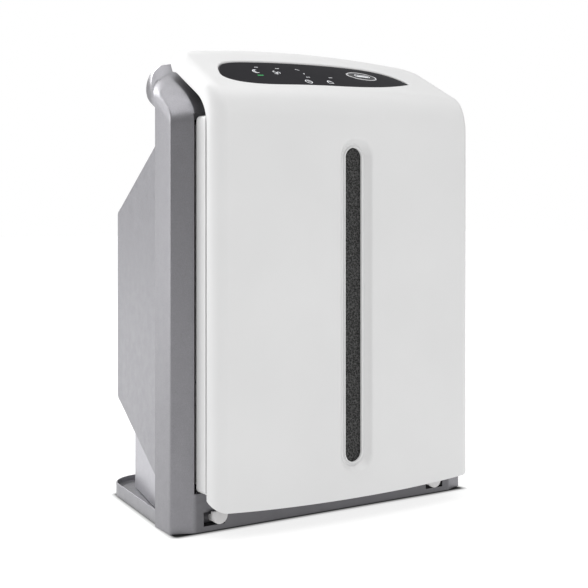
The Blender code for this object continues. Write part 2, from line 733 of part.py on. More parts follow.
def build_outlet_grille():
    low_y, high_y = -0.004 + GAP, 0.104 - GAP
    half, thick = 0.150 - GAP, 0.0026
    loops = []
    for x in (-half, half):
        loops.append([(x, low_y, slope_height(low_y) - thick), (x, high_y, slope_height(high_y) - thick),
                      (x, high_y, slope_height(high_y)), (x, low_y, slope_height(low_y))])
    grille = loft("outlet_grille", loops, GREY_PLASTIC)
    slots = bmesh.new()
    count, columns = 11, 3
    for i in range(count):
        y = low_y + 0.007 + (high_y - low_y - 0.014) * (i + 0.5) / count
        for j in range(columns):
            left = -half + 0.006 + (2 * half - 0.012) * j / columns
            add_box(slots, (left + 0.0015, y - 0.0030, 0.30),
                    (left + (2 * half - 0.012) / columns - 0.0015, y + 0.0030, 0.50))
    cut(grille, new_object("slot_cutter", slots, GREY_PLASTIC))


def lower_half(y):
    return 0.2026 - 0.0376 * (y - FRAME_REAR) / 0.1473


def lower_outline(inset, z_of, front):
    """Plan outline of the lower body, with heights from a function of y."""
    radius = 0.020 - inset
    rear = 0.120 - inset
    turn_y = rear - radius
    edge = lower_half(turn_y) - inset
    right = [(lower_half(front) - inset, front, z_of(front))]
    for i in range(5):
        angle = math.pi / 2 * i / 4
        y = turn_y + radius * math.sin(angle)
        right.append((edge - radius + radius * math.cos(angle), y, z_of(y)))
    return right + [(-x, y, z) for x, y, z in reversed(right)]


def housing_floor(y):
    """Height of the rear housing's sloping underside, less the gap."""
    share = min((y - HOUSING_FRONT) / (HOUSING_REAR - 0.007 - HOUSING_FRONT), 1.0)
    return 0.0480 + 0.0700 * share - GAP


def build_lower_body():
    floor = TRAY_FLOOR + GAP
    body = loft("lower_body", [lower_outline(0.0, lambda y: floor, HOUSING_FRONT),
                               lower_outline(0.0, housing_floor, HOUSING_FRONT)], PALE_PAINT)
    cut(body, loft("lower_cutter", [
        lower_outline(0.0026, lambda y: floor + 0.0026, HOUSING_FRONT - 0.02),
        lower_outline(0.0026, lambda y: 0.15, HOUSING_FRONT - 0.02)], PALE_PAINT))
    cut(body, boxes("inlet_cutter", [((0.0800 - GAP, 0.100, 0.0350 - GAP),
                                      (0.1100 + GAP, 0.130, 0.0570 + GAP))], PALE_PAINT))


def build_power_inlet():
    inlet = boxes("power_inlet", [((0.0800, 0.0980, 0.0350), (0.1100, 0.1206, 0.0570))],
                  BLACK_PLASTIC)
    cut(inlet, boxes("socket_cutter", [((0.0835, 0.1040, 0.0385), (0.1065, 0.1300, 0.0535))],
                     BLACK_PLASTIC))
    contacts = boxes("inlet_contacts", [((0.0860, 0.1043, 0.0440), (0.1040, 0.1058, 0.0480))],
                     STEEL)
    for x in (0.0890, 0.0950, 0.1010):
        cut(contacts, boxes("pin_shape", [((x - 0.0010, 0.1048, 0.0440),
                                           (x + 0.0010, 0.1170, 0.0480))], STEEL), "UNION")


# Filters --------------------------------------------------------------------------------------
def filter_frame(name, front, back, finish, wall=0.004):
    half, low, high = 0.1800, 0.0530, 0.4660
    rings = [[(x, y, z) for x, z in ((-h, a), (h, a), (h, b), (-h, b))]
             for h, a, b, y in (
                 (half, low, high, front), (half, low, high, back),
                 (half - wall, low + wall, high - wall, back),
                 (half - wall, low + wall, high - wall, front))]
    return loft(name, rings, finish, closed=True)


def build_filters():
    filter_frame("particle_filter_frame", -0.0860, -0.0560, WHITE_PLASTIC)
    filter_frame("carbon_filter_frame", -0.0550, -0.0430, BLACK_PLASTIC)
    half, low, high = 0.1755, 0.0573, 0.4617
    pleats = 40
    front, back, thick = -0.0840, -0.0580, 0.0012
    fold = []
    for i in range(2 * pleats + 1):
        x = -half + 2 * half * i / (2 * pleats)
        fold.append((x, front + thick if i % 2 else back - thick))
    ridge = [(x, y - thick) for x, y in fold]
    outline = fold + ridge[::-1]
    loft("particle_filter_media", [[(x, y, z) for x, y in outline] for z in (low, high)],
         ("filter_paper", (0.85, 0.85, 0.82), 0.9), smooth_angle=5)
    boxes("carbon_filter_pad", [((-half, -0.0540, low), (half, -0.0440, high))],
          ("carbon", (0.02, 0.02, 0.02), 0.9))
    pair("pull_tab", (0.150, -0.0885, 0.2400), (0.175, -0.0863, 0.2800),
         ("tab_fabric", (0.3, 0.3, 0.32), 0.9))


# Fan ------------------------------------------------------------------------------------------
def build_bulkhead():
    low_z, high_z = 0.0660, 0.4340
    panel = boxes("fan_bulkhead", [((-0.1980, -0.0195, low_z), (0.1980, -0.0165, high_z))],
                  GREY_PLASTIC)
    mouth = 0.0860
    cut(panel, turned("mouth_cutter", [(mouth, -0.03), (mouth, 0.0)], (0, 0, FAN_Z), "Y",
                      GREY_PLASTIC, 40, closed=False))
    turned("inlet_bellmouth", [(mouth - 0.0003, -0.0195), (mouth - 0.0003, -0.0150),
                               (0.0800, -0.0060), (0.0780, -0.0060), (0.0800, -0.0160),
                               (mouth - 0.0025, -0.0195)], (0, 0, FAN_Z), "Y", GREY_PLASTIC, 40)
    guard = turned("inlet_guard", [(0.0060, -0.0218), (0.0060, -0.0198), (0.0140, -0.0198),
                                   (0.0140, -0.0218)], (0, 0, FAN_Z), "Y", STEEL, 24)
    spokes = bmesh.new()
    for i in range(6):
        made = bmesh.ops.create_cube(spokes, size=1.0)["verts"]
        bmesh.ops.scale(spokes, vec=(0.0800, 0.0014, 0.0020), verts=made)
        bmesh.ops.translate(spokes, vec=(0.0510, -0.0208, 0.0), verts=made)
        angle = math.pi * i / 3
        for vertex in made:
            x, z = vertex.co.x, vertex.co.z
            vertex.co.x = x * math.cos(angle) - z * math.sin(angle)
            vertex.co.z = x * math.sin(angle) + z * math.cos(angle) + FAN_Z
    cut(guard, new_object("spoke_shape", spokes, STEEL), "UNION")
    for radius in (0.038, 0.062, 0.088):
        ring = turned("guard_ring", [(radius, -0.0216), (radius, -0.0200), (radius + 0.0022, -0.0200),
                                     (radius + 0.0022, -0.0216)], (0, 0, FAN_Z), "Y", STEEL, 40)
        cut(guard, ring, "UNION")


def scroll_outline(inset, steps=28):
    """Spiral casing outline about the fan's centre, ending in a chute that rises to the vent."""
    points = []
    start, end = math.radians(160), math.radians(360)
    for i in range(steps + 1):
        angle = start + (end - start) * i / steps
        radius = 0.1090 + 0.0260 * i / steps - inset
        points.append((radius * math.cos(angle), FAN_Z + radius * math.sin(angle)))
    edge = 0.1350 - inset
    top = 0.3680 + (0.02 if inset else 0.0)
    points.append((edge, top))
    points.append((-0.1020 + inset, top))
    return points


def build_fan():
    scroll = loft("fan_scroll", [[(x, y, z) for x, z in scroll_outline(0.0)]
                                 for y in (SCROLL_FRONT, SCROLL_BACK)], GREY_PLASTIC)
    cut(scroll, loft("scroll_cutter", [[(x, y, z) for x, z in scroll_outline(0.0025)]
                                       for y in (SCROLL_FRONT - 0.01, SCROLL_BACK - 0.0030)],
                     GREY_PLASTIC))
    cut(scroll, turned("shaft_cutter", [(0.020, 0.05), (0.020, 0.09)], (0, 0, FAN_Z), "Y",
                       GREY_PLASTIC, 24, closed=False))
    plate = turned("fan_impeller", [(0.0062, FAN_BACK - 0.022), (0.0062, FAN_BACK), (FAN_RADIUS, FAN_BACK),
                                    (FAN_RADIUS, FAN_BACK - 0.0022), (0.0160, FAN_BACK - 0.0022),
                                    (0.0140, FAN_BACK - 0.022)], (0, 0, FAN_Z), "Y", BLACK_PLASTIC, 48)
    blades = bmesh.new()
    count = 30
    for i in range(count):
        made = bmesh.ops.create_cube(blades, size=1.0)["verts"]
        bmesh.ops.scale(blades, vec=(0.0200, FAN_BACK - FAN_FRONT - 0.0018, 0.0016), verts=made)
        tilt = math.radians(35)
        angle = 2 * math.pi * i / count
        for vertex in made:
            x, z = vertex.co.x, vertex.co.z
            u, v = x * math.cos(tilt) - z * math.sin(tilt), x * math.sin(tilt) + z * math.cos(tilt)
            u += FAN_RADIUS - 0.0105
            vertex.co = (u * math.cos(angle) - v * math.sin(angle),
                         vertex.co.y + (FAN_BACK + FAN_FRONT) / 2 - 0.0002,
                         u * math.sin(angle) + v * math.cos(angle) + FAN_Z)
    cut(plate, new_object("blade_shape", blades, BLACK_PLASTIC), "UNION")
    shroud = turned("shroud_shape", [(0.0820, FAN_FRONT), (0.0820, FAN_FRONT + 0.0022),
                                     (FAN_RADIUS, FAN_FRONT + 0.0022), (FAN_RADIUS, FAN_FRONT)],
                    (0, 0, FAN_Z), "Y", BLACK_PLASTIC, 48)
    cut(plate, shroud, "UNION")
    move_origin(plate, (0.0, FAN_BACK, FAN_Z))
    shaft = turned("motor_shaft", [(0.0058, FAN_BACK - 0.024), (0.0058, 0.0800)], (0, 0, FAN_Z), "Y",
                   STEEL, 16, closed=False)
    nut = turned("hub_nut", [(0.0088, FAN_BACK - 0.0320), (0.0088, FAN_BACK - 0.0243)],
                 (0, 0, FAN_Z), "Y", STEEL, 6, closed=False)
    for piece in (shaft, nut):
        move_origin(piece, (0.0, FAN_BACK, FAN_Z))
    turned("fan_motor", [(0.0340, 0.0803), (0.0360, 0.0830), (0.0360, 0.1040), (0.0300, 0.1090)],
           (0, 0, FAN_Z), "Y", STEEL, 32, closed=False)
    turned("motor_bracket", [(0.0210, 0.0765), (0.0210, 0.0795), (0.0560, 0.0795),
                             (0.0560, 0.0765)], (0, 0, FAN_Z), "Y", GREY_PLASTIC, 32)
    for i in range(3):
        angle = math.radians(90 + 120 * i)
        x, z = 0.0480 * math.cos(angle), FAN_Z + 0.0480 * math.sin(angle)
        disc(f"motor_damper_{i + 1}", (x, 0.07425, z), 0.0055, 0.0039, "Y", RUBBER)
        disc(f"motor_screw_{i + 1}", (x, 0.0810, z), 0.0035, 0.0024, "Y", STEEL, 0.0028)


# Electronics and small parts ------------------------------------------------------------------
def build_electronics():
    boxes("main_board", [((-0.1300, 0.0100, 0.0200), (0.0300, 0.1000, 0.0216))], BOARD_GREEN)
    boxes("power_transformer", [((-0.1200, 0.0300, 0.0219), (-0.0800, 0.0650, 0.0480))],
          ("copper_core", (0.45, 0.25, 0.12), 0.5, 0.4))
    disc("board_capacitor", (-0.0400, 0.0750, 0.0320), 0.0090, 0.0200, "Z", BLACK_PLASTIC,
         segments=16)
    boxes("particle_sensor", [((-0.1780, 0.0100, 0.3000), (-0.1560, 0.0500, 0.3400))],
          BLACK_PLASTIC)
    boxes("door_sensor", [((0.085, FRAME_FACE + 0.0065, BAY_HIGH - 0.0120),
                           (0.097, FRAME_FACE + 0.0075, BAY_HIGH - 0.0070))], BLACK_PLASTIC)


def build_catch_plates():
    pair("catch_plate", (0.108, BAND_REAR + 0.0006, BAND_HIGH - 0.0090),
         (0.132, FRAME_FACE + MOUTH_DEPTH - GAP, BAND_HIGH - 0.0015), STEEL)


def build_housing_screws():
    for place, z in (("lower", 0.150), ("upper", 0.340)):
        for side, x in (("left", -0.150), ("right", 0.150)):
            disc(f"{place}_{side}_screw", (x, HOUSING_REAR + 0.0012, z), 0.0040, 0.0018, "Y",
                 STEEL, 0.0032)


clear_scene()
build_front_cover()
build_intake_trim()
build_door_band()
build_prefilter()
build_hinge_foot("left_hinge_foot", -FOOT_X)
build_hinge_foot("right_hinge_foot", FOOT_X)
build_controls()
build_body_frame()
build_base_tray()
build_rubber_feet()
build_rear_housing()
build_outlet_grille()
build_lower_body()
build_power_inlet()
build_filters()
build_bulkhead()
build_fan()
build_electronics()
build_catch_plates()
build_housing_screws()
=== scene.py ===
"""Looks of the air purifier: moulded shells, foam, dark control lens and painted frame."""

import math

import bpy
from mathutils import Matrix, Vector, noise


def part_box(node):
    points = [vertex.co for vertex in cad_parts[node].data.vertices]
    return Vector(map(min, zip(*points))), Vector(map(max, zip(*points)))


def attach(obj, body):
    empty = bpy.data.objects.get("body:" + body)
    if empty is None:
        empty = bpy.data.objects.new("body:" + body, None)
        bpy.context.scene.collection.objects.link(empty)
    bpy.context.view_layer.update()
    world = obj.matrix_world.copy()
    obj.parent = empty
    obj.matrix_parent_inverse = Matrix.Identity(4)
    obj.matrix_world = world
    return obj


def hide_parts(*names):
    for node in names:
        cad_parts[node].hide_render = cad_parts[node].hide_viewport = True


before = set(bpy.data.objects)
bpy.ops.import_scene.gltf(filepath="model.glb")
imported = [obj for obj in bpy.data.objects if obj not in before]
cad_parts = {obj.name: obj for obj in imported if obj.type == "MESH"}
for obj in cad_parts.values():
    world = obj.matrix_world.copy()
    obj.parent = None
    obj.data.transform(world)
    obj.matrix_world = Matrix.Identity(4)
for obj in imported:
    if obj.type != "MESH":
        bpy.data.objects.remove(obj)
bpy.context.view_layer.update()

# Sizes in metres, read from the frame where a piece gives them ----
COVER_LOW_CORNER, COVER_HIGH_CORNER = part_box("front_cover")
FRONT = COVER_LOW_CORNER.y
COVER_HALF = COVER_HIGH_CORNER.x
COVER_LOW = COVER_LOW_CORNER.z
COVER_WALL = 0.0026
HEM_RISE, HEM_REACH = 0.0034, 0.038     # the bottom edge rises this much in the middle, over this height
COVER_ROLL = 0.0185          # width of the rolled side edge
COVER_FLAT = COVER_HALF - COVER_ROLL
COVER_BOW = 0.3355           # the front bows back by this times x squared
COVER_RIM = -0.119
CAP_BOW, CAP_FULLNESS = 0.28, 2.7        # the cap is flatter across and its rolled ends are fuller
CAP_REAR_ROLL = 0.0220                   # its rolled ends are this much wider at the rear
# front plane, height of the roll, its radius, slope in degrees, its run, crest radius, bottom edge
MIDDLE_LINE = (FRONT, 0.4758, 0.0458, 27, 0.0898, 0.095, COVER_LOW)
RIM_LINE = (COVER_RIM, 0.4620, 0.0440, 30, 0.0520, 0.030, COVER_LOW + COVER_ROLL)
STRAIGHT_END, ROLL_END, SLOPE_END, LINE_END = 4, 10, 13, 17   # places along those lines
SHOULDER_START, SHOULDER_SPAN = 5, 5     # the section changes from front to cap over these places
CAP_START = 3.4                          # every point of the cap lies past this place
CREST_SLOPE = 4                          # slope in degrees where the lines end

SLOT_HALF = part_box("intake_trim")[0].x * -1 - 0.0080
SLOT_LOW, SLOT_HIGH = 0.0684, 0.442
MOUTH_HALF = SLOT_HALF + 0.0031
WALL_TOP = 0.0229            # distance from the slot's middle line where the funnel wall starts
WALL_PITCH, WALL_DEPTH = 1.25, 0.0100    # steepness of that wall and its depth
WALL_EASE = 0.00055
LEAD_REACH, LEAD_DEPTH, LEAD_LIMIT = 0.040, 0.0018, 1.35      # shallow dish round the funnel
LIP_WALL, LIP_NOSE, LIP_STEP = 0.0013, 0.0005, 0.0107         # section of the lip in the slot
FOAM_SET_BACK, PIT_DEPTH = 0.0006, 0.0005
BAND_WALL, BAND_CORNER = 0.0025, 0.006

LENS_X, LENS_HALF = -0.0166, 0.1386
LENS_TIP_Y, LENS_SKEW, LENS_FRONT_Y, LENS_BACK_Y = -0.0920, 0.0050, -0.1234, -0.0600
LENS_DROP, LENS_WALL = 0.0017, 0.0022
CAP_CUT, CAP_EDGE = 0.0024, 0.0012       # the cap's rolled edge lies between these two outlines
CAP_LAP, CAP_EDGE_DEPTH = 0.0010, 0.0024 # lap of that edge under the cap, and its depth
BUTTON_X, BUTTON_Y = 0.0545, -0.0838
BUTTON_HALF = (0.0205, 0.0090)
RING_WIDTH, RING_CROWN, RING_DEPTH = 0.0020, 0.0007, 0.0040
BUTTON_RISE, BUTTON_DEPTH = 0.0008, 0.0045
SIGN_LINE, SIGN_WALL = 0.0011, 0.0001    # width and thickness of the printed signs

FRAME_FACE, FRAME_REAR = -0.094, -0.0413
FRAME_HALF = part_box("body_frame")[1].x
FRAME_FACE_HALF, FRAME_REAR_HALF = 0.1884, 0.2129
FRAME_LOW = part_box("body_frame")[0].z
CHAMFER_SLOPE = 0.387
MOUTH_EDGE = 0.1900          # half width of the door opening in the frame
BAND_FRONT_GAP = 0.0050      # groove between the band and the cover's side rim
CORNER_EASE = 0.0011
SHOULDER_Z, SHOULDER_RISE = 0.4660, 0.0295
HOOD_CROWN, CONSOLE_CROWN, HOOD_ROUND = 0.0205, 0.0300, 0.0299
CONSOLE_REACH, CONSOLE_RISE = 0.078, 0.0575      # from the frame's face and from its shoulder
HOOD_LIP_Y, HOOD_LIP_Z, HOOD_LIP_END = 0.0900, 0.5200, 0.4960
HOOD_LIP_RADII = (0.0195, 0.0165)
BAY_HALF, BAY_LOW, BAY_HIGH = 0.1857, 0.0455, 0.4765      # the filter bay behind the door

HOUSING_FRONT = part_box("rear_housing")[0].y
HOUSING_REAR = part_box("rear_housing")[1].y
HOUSING_WALL, HOUSING_TUCK = 0.0026, 0.007
# at the front of the housing and how much it gains or loses towards the rear
HOUSING_HALF, HOUSING_LOW, HOUSING_HIGH = (0.2110, 0.0275), (0.0480, 0.0700), (0.4535, 0.0805)
HOUSING_CORNER = 0.012
LOWER_HALF, LOWER_NARROWS, LOWER_RUN = 0.2026, 0.0376, 0.1473
LOWER_REAR, LOWER_CORNER = 0.120, 0.020
TRAY_HALF, TRAY_NARROWS, TRAY_START, TRAY_RUN = 0.2080, 0.0185, 0.0300, 0.1290
TRAY_WALL, TRAY_EASE, TRAY_CORNER = 0.0024, 0.0008, 0.045
TRAY_FLOOR = 0.0105
GAP = 0.0003
BASE_HALF, BASE_TAPER = 0.1960, 0.143    # the base's half width where y is 0, and how fast it narrows
BASE_FRONT, BASE_REAR = -0.0880, 0.128
CONTACT_SHADOW_LINE, CONTACT_SHADE = 0.004, 0.014   # widths of the painted dark contact line and the painted shadow round it
SILL_PAINTED_SHADE = 0.62                        # the sill's paint between the pillars is this bright: painted shade under the cover's overhang


# Shaping helpers -------------------------------------------
def deselect():
    bpy.ops.object.select_all(action="DESELECT")


def make_active(obj):
    deselect()
    obj.select_set(True)
    bpy.context.view_layer.objects.active = obj


def named(name):
    """Gives the object just added its name."""
    made = bpy.context.active_object
    made.name = made.data.name = name
    return made


def laid_grid(name, columns, rows, place):
    """A grid primitive whose points are laid on place(column, row)."""
    deselect()
    bpy.ops.mesh.primitive_grid_add(x_subdivisions=columns, y_subdivisions=rows, size=1)
    made = named(name)
    for vertex in made.data.vertices:
        column = round((vertex.co.x + 0.5) * columns)
        row = round((vertex.co.y + 0.5) * rows)
        vertex.co = place(column, row)
    return made


def edit(obj, *steps):
    """Runs edit-mode operators on the whole of a piece."""
    make_active(obj)
    bpy.ops.object.mode_set(mode="EDIT")
    bpy.ops.mesh.select_all(action="SELECT")
    for step in steps:
        step()
    bpy.ops.object.mode_set(mode="OBJECT")


def merge():
    bpy.ops.mesh.remove_doubles(threshold=1e-6)


def outwards():
    bpy.ops.mesh.select_all(action="SELECT")
    bpy.ops.mesh.normals_make_consistent(inside=False)


def close_ends():
    bpy.ops.mesh.fill_holes(sides=0)


def skinned(name, loops, ring=False):
    """A closed skin through matching loops, capped at both ends unless they form a ring."""
    around, along = len(loops[0]), len(loops)
    rows = along if ring else along - 1
    made = laid_grid(name, around, rows, lambda c, r: loops[r % along][c % around])
    edit(made, merge, close_ends, outwards)
    return made


def block(name, low, high):
    """A box between two corners, for cutting or as the start of a piece."""
    deselect()
    size = [b - a for a, b in zip(low, high)]
    centre = [(a + b) / 2 for a, b in zip(low, high)]
    bpy.ops.mesh.primitive_cube_add(size=1, location=centre, scale=size)
    bpy.ops.object.transform_apply(location=True, rotation=True, scale=True)
    return named(name)


def apply_modifier(obj, kind, **settings):
    modifier = obj.modifiers.new(kind.lower(), kind)
    for key, value in settings.items():
        setattr(modifier, key, value)
    make_active(obj)
    bpy.ops.object.modifier_apply(modifier=modifier.name)
    return obj


def carve(obj, cutter, operation="DIFFERENCE"):
    apply_modifier(obj, "BOOLEAN", operation=operation, object=cutter)
    bpy.data.objects.remove(cutter)
    return obj


def thicken(obj, wall, even=True):
    return apply_modifier(obj, "SOLIDIFY", thickness=wall, offset=-1, use_even_offset=even)


def ease(obj, width, segments=3, angle=35):
    """Rounds every edge sharper than an angle in degrees."""
    return apply_modifier(obj, "BEVEL", width=width, segments=segments, limit_method="ANGLE",
                          angle_limit=math.radians(angle), harden_normals=False)


def smooth(obj, angle=32):
    make_active(obj)
    bpy.ops.object.shade_smooth_by_angle(angle=math.radians(angle))
    return obj


def joined(name, parts):
    deselect()
    for part in parts:
        part.select_set(True)
    bpy.context.view_layer.objects.active = parts[0]
    bpy.ops.object.join()
    return named(name)


def seat(obj, body, slot, finish, *nodes):
    """Gives a finished piece its body and finish, and hides the nodes it stands for; the slot is not
    used.
    """
    obj.data.materials.clear()
    obj.data.materials.append(finish)
    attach(obj, body)
    if nodes:
        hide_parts(*nodes)
    return obj


def eased_copy(node, name, width, segments=2, angle=35):
    """A frame node's own shape with its edges rounded."""
    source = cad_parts[node]
    made = bpy.data.objects.new(name, source.data.copy())
    bpy.context.scene.collection.objects.link(made)
    made.data.name = name
    edit(made, merge, lambda: bpy.ops.mesh.dissolve_limited(angle_limit=math.radians(1)))
    return smooth(ease(made, width, segments, angle))


# Finishes --------------------------------------------------
class Finish:
    """A node-based finish under construction; constants stay on the shader's own sockets."""

    def __init__(self, name, colour, roughness, metallic=0.0, **sockets):
        self.material = bpy.data.materials.new(name)
        self.material.use_nodes = True
        self.tree = self.material.node_tree
        self.shader = self.tree.nodes["Principled BSDF"]
        self.set(self.shader, Base_Color=(*colour, 1), Roughness=roughness, Metallic=metallic,
                 **sockets)
        self.colour, self.roughness = colour, roughness
        self.place = self.add("ShaderNodeTexCoord").outputs["Object"]
        self.height = None

    def set(self, node, **values):
        for key, value in values.items():
            node.inputs[key.replace("_", " ")].default_value = value

    def add(self, kind, links=(), **values):
        node = self.tree.nodes.new(kind)
        self.set(node, **values)
        for socket, output in links:
            self.tree.links.new(output, node.inputs[socket])
        return node

    def stretched(self, scale):
        """Object coordinates scaled by axis, so that a grain runs one way."""
        return self.add("ShaderNodeMapping", [("Vector", self.place)], Scale=scale).outputs[0]

    def noise(self, scale, detail=2.0, place=None, rough=0.5):
        return self.add("ShaderNodeTexNoise", [("Vector", place or self.place)], Scale=scale,
                        Detail=detail, Roughness=rough).outputs["Fac"]

    def cells(self, scale, output="Distance", feature="F1"):
        node = self.add("ShaderNodeTexVoronoi", [("Vector", self.place)], Scale=scale)
        node.feature = feature
        return node.outputs[output]

    def ranged(self, value, low, high, start=0.3, end=0.7):
        return self.add("ShaderNodeMapRange", [("Value", value)], **{
            "From_Min": start, "From_Max": end, "To_Min": low, "To_Max": high}).outputs[0]

    def tint(self, value, dark, light, start=0.3, end=0.7):
        """Colours the surface between two colours by a pattern."""
        ramp = self.add("ShaderNodeValToRGB", [("Fac", value)])
        ramp.color_ramp.elements[0].position, ramp.color_ramp.elements[1].position = start, end
        ramp.color_ramp.elements[0].color = (*dark, 1)
        ramp.color_ramp.elements[1].color = (*light, 1)
        self.tree.links.new(ramp.outputs[0], self.shader.inputs["Base Color"])
        return ramp.outputs[0]

    def math(self, kind, *values):
        """A maths node on outputs and numbers."""
        node = self.add("ShaderNodeMath")
        node.operation = kind
        for socket, value in zip(node.inputs, values):
            if isinstance(value, float):
                socket.default_value = value
            else:
                self.tree.links.new(value, socket)
        return node.outputs[0]

    def axes(self):
        return self.add("ShaderNodeSeparateXYZ", [("Vector", self.place)]).outputs

    def paint_shade_between_pillars(self, paint):
        """Painted shade: darker paint low down between the pillars, where the cover's overhang shades
        the sill.
        """
        x, _, z = self.axes()
        inside = self.ranged(self.math("ABSOLUTE", x), 1.0, 0.0, 0.186, 0.192)
        low = self.ranged(z, 1.0, 0.0, 0.036, 0.050)
        mix = self.add("ShaderNodeMixRGB", [("Fac", self.math("MULTIPLY", inside, low)),
                                            ("Color1", paint)])
        self.set(mix, Color2=(*shaded(self.colour, SILL_PAINTED_SHADE), 1))
        self.tree.links.new(mix.outputs[0], self.shader.inputs["Base Color"])

    def glow_with_painted_contact_shadow(self, strength, base):
        """A faint glow that fades next to the purifier's base as a painted shadow, and a dark line
        painted where it stands as a contact shadow.
        """
        x, y, _ = self.axes()
        across = self.math("MULTIPLY_ADD", y, BASE_TAPER, self.math("ABSOLUTE", x))
        across = self.math("MAXIMUM", self.math("SUBTRACT", across, BASE_HALF), 0.0)
        middle, half = (BASE_FRONT + BASE_REAR) / 2, (BASE_REAR - BASE_FRONT) / 2
        along = self.math("ABSOLUTE", self.math("SUBTRACT", y, middle))
        along = self.math("MAXIMUM", self.math("SUBTRACT", along, half), 0.0)
        squares = [self.math("POWER", value, 2.0) for value in (across, along)]
        distance = self.math("SQRT", self.math("ADD", *squares))
        # the glow fades to nothing next to the base: a painted shadow
        glow = self.ranged(distance, 0.0, strength, CONTACT_SHADOW_LINE, CONTACT_SHADE)
        self.tree.links.new(glow, self.shader.inputs["Emission Strength"])
        # a dark line painted on the floor where the base stands: a painted contact shadow
        dark = self.ranged(distance, 1.0, 0.0, CONTACT_SHADOW_LINE, 2 * CONTACT_SHADOW_LINE)
        mix = self.add("ShaderNodeMixRGB", [("Fac", dark), ("Color1", base)])
        self.set(mix, Color2=(0.02, 0.02, 0.02, 1))
        self.tree.links.new(mix.outputs[0], self.shader.inputs["Base Color"])

    def sheen_spread(self, value, spread):
        """Lets the roughness wander a little by a pattern."""
        self.tree.links.new(self.ranged(value, self.roughness - spread, self.roughness + spread),
                            self.shader.inputs["Roughness"])

    def bump(self, value, depth, strength=1.0):
        links = [("Height", value)]
        if self.height:
            links.append(("Normal", self.height))
        self.height = self.add("ShaderNodeBump", links, Strength=strength, Distance=depth).outputs[0]
        self.tree.links.new(self.height, self.shader.inputs["Normal"])


def shaded(colour, factor):
    return tuple(min(1.0, part * factor) for part in colour)


def moulded(name, colour, roughness, grain=1400, depth=0.00003, spread=0.04, variety=0.02,
            **sockets):
    """Injection-moulded plastic: fine spark grain, faint cloudiness, wandering gloss."""
    finish = Finish(name, colour, roughness, **sockets)
    finish.tint(finish.noise(7, 3), shaded(colour, 1 - variety), shaded(colour, 1 + variety))
    finish.sheen_spread(finish.noise(60, 3), spread)
    finish.bump(finish.noise(22, 2), 0.00012, 0.25)
    finish.bump(finish.noise(grain, 2), depth, 0.5)
    return finish.material


def painted(name, colour, roughness, metallic, paint_sill_shade=False):
    """Metallic paint: tiny flakes that differ in brightness under a satin film."""
    finish = Finish(name, colour, roughness, metallic)
    flakes = finish.cells(2600, "Color")
    value = finish.add("ShaderNodeSeparateColor", [("Color", flakes)]).outputs[0]
    paint = finish.tint(value, shaded(colour, 0.88), shaded(colour, 1.12), 0.0, 1.0)
    # the sill's paint is darkened between the pillars as painted shade
    if paint_sill_shade:
        finish.paint_shade_between_pillars(paint)
    finish.sheen_spread(finish.noise(90, 3), 0.05)
    finish.bump(finish.noise(700, 2), 0.00003, 0.4)
    return finish.material


def smoked_lens():
    finish = Finish("charcoal_lens", (0.014, 0.0135, 0.0165), 0.32, IOR=1.28,
                    Specular_IOR_Level=0.10)
    finish.tint(finish.noise(14, 2), (0.012, 0.0115, 0.0145), (0.016, 0.0155, 0.0185))
    finish.sheen_spread(finish.noise(40, 2), 0.03)
    return finish.material


def open_cell_foam():
    """Charcoal foam: round pits between bright struts, at two sizes."""
    finish = Finish("open_cell_foam", (0.05, 0.05, 0.05), 0.9)
    mixed = finish.math("ADD", finish.cells(450), finish.cells(1500))
    struts = finish.ranged(mixed, 0.0, 1.0, 0.75, 1.45)
    finish.tint(struts, (0.002, 0.002, 0.002), (0.135, 0.135, 0.133), 0.0, 1.0)
    finish.bump(mixed, 0.0012, 1.0)
    return finish.material


def brushed_metal(name, colour, roughness):
    finish = Finish(name, colour, roughness, 1.0)
    lines = finish.noise(260, 2, finish.stretched((1.0, 14.0, 14.0)))
    finish.tint(lines, shaded(colour, 0.9), shaded(colour, 1.08))
    finish.sheen_spread(lines, 0.06)
    finish.bump(lines, 0.00002, 0.4)
    return finish.material


def pleated_paper():
    finish = Finish("glass_fibre_paper", (0.80, 0.80, 0.77), 0.92)
    fibres = finish.noise(340, 4, finish.stretched((3.0, 3.0, 0.5)), 0.7)
    finish.tint(fibres, (0.70, 0.70, 0.67), (0.86, 0.86, 0.84))
    finish.bump(fibres, 0.00012, 0.7)
    return finish.material


def carbon_granules():
    finish = Finish("carbon_granules", (0.02, 0.02, 0.02), 0.75)
    grains = finish.cells(380)
    finish.tint(grains, (0.004, 0.004, 0.004), (0.045, 0.045, 0.048), 0.1, 0.7)
    finish.bump(grains, 0.0010, 1.0)
    return finish.material


def woven_tape():
    finish = Finish("woven_tape", (0.26, 0.27, 0.30), 0.95, Sheen_Weight=0.3)
    threads = []
    for direction in ("X", "Z"):
        wave = finish.add("ShaderNodeTexWave", [("Vector", finish.place)], Scale=420.0)
        wave.bands_direction = direction
        threads.append(wave.outputs["Fac"])
    weave = finish.math("MULTIPLY", *threads)
    finish.tint(weave, (0.17, 0.18, 0.20), (0.33, 0.34, 0.38), 0.0, 1.0)
    finish.bump(weave, 0.0002, 0.9)
    return finish.material


def circuit_board():
    finish = Finish("circuit_board", (0.02, 0.16, 0.07), 0.4, Coat_Weight=0.3)
    tracks = finish.cells(160, "Distance", "DISTANCE_TO_EDGE")
    finish.tint(tracks, (0.06, 0.30, 0.12), (0.014, 0.12, 0.05), 0.03, 0.06)
    finish.bump(tracks, 0.00005, 0.4)
    return finish.material


def laminated_core():
    finish = Finish("laminated_core", (0.42, 0.22, 0.11), 0.45, 0.6)
    wave = finish.add("ShaderNodeTexWave", [("Vector", finish.place)], Scale=260.0)
    wave.bands_direction = "Y"
    finish.tint(wave.outputs["Fac"], (0.20, 0.10, 0.05), (0.50, 0.27, 0.14), 0.2, 0.8)
    finish.bump(wave.outputs["Fac"], 0.0002, 0.6)
    return finish.material


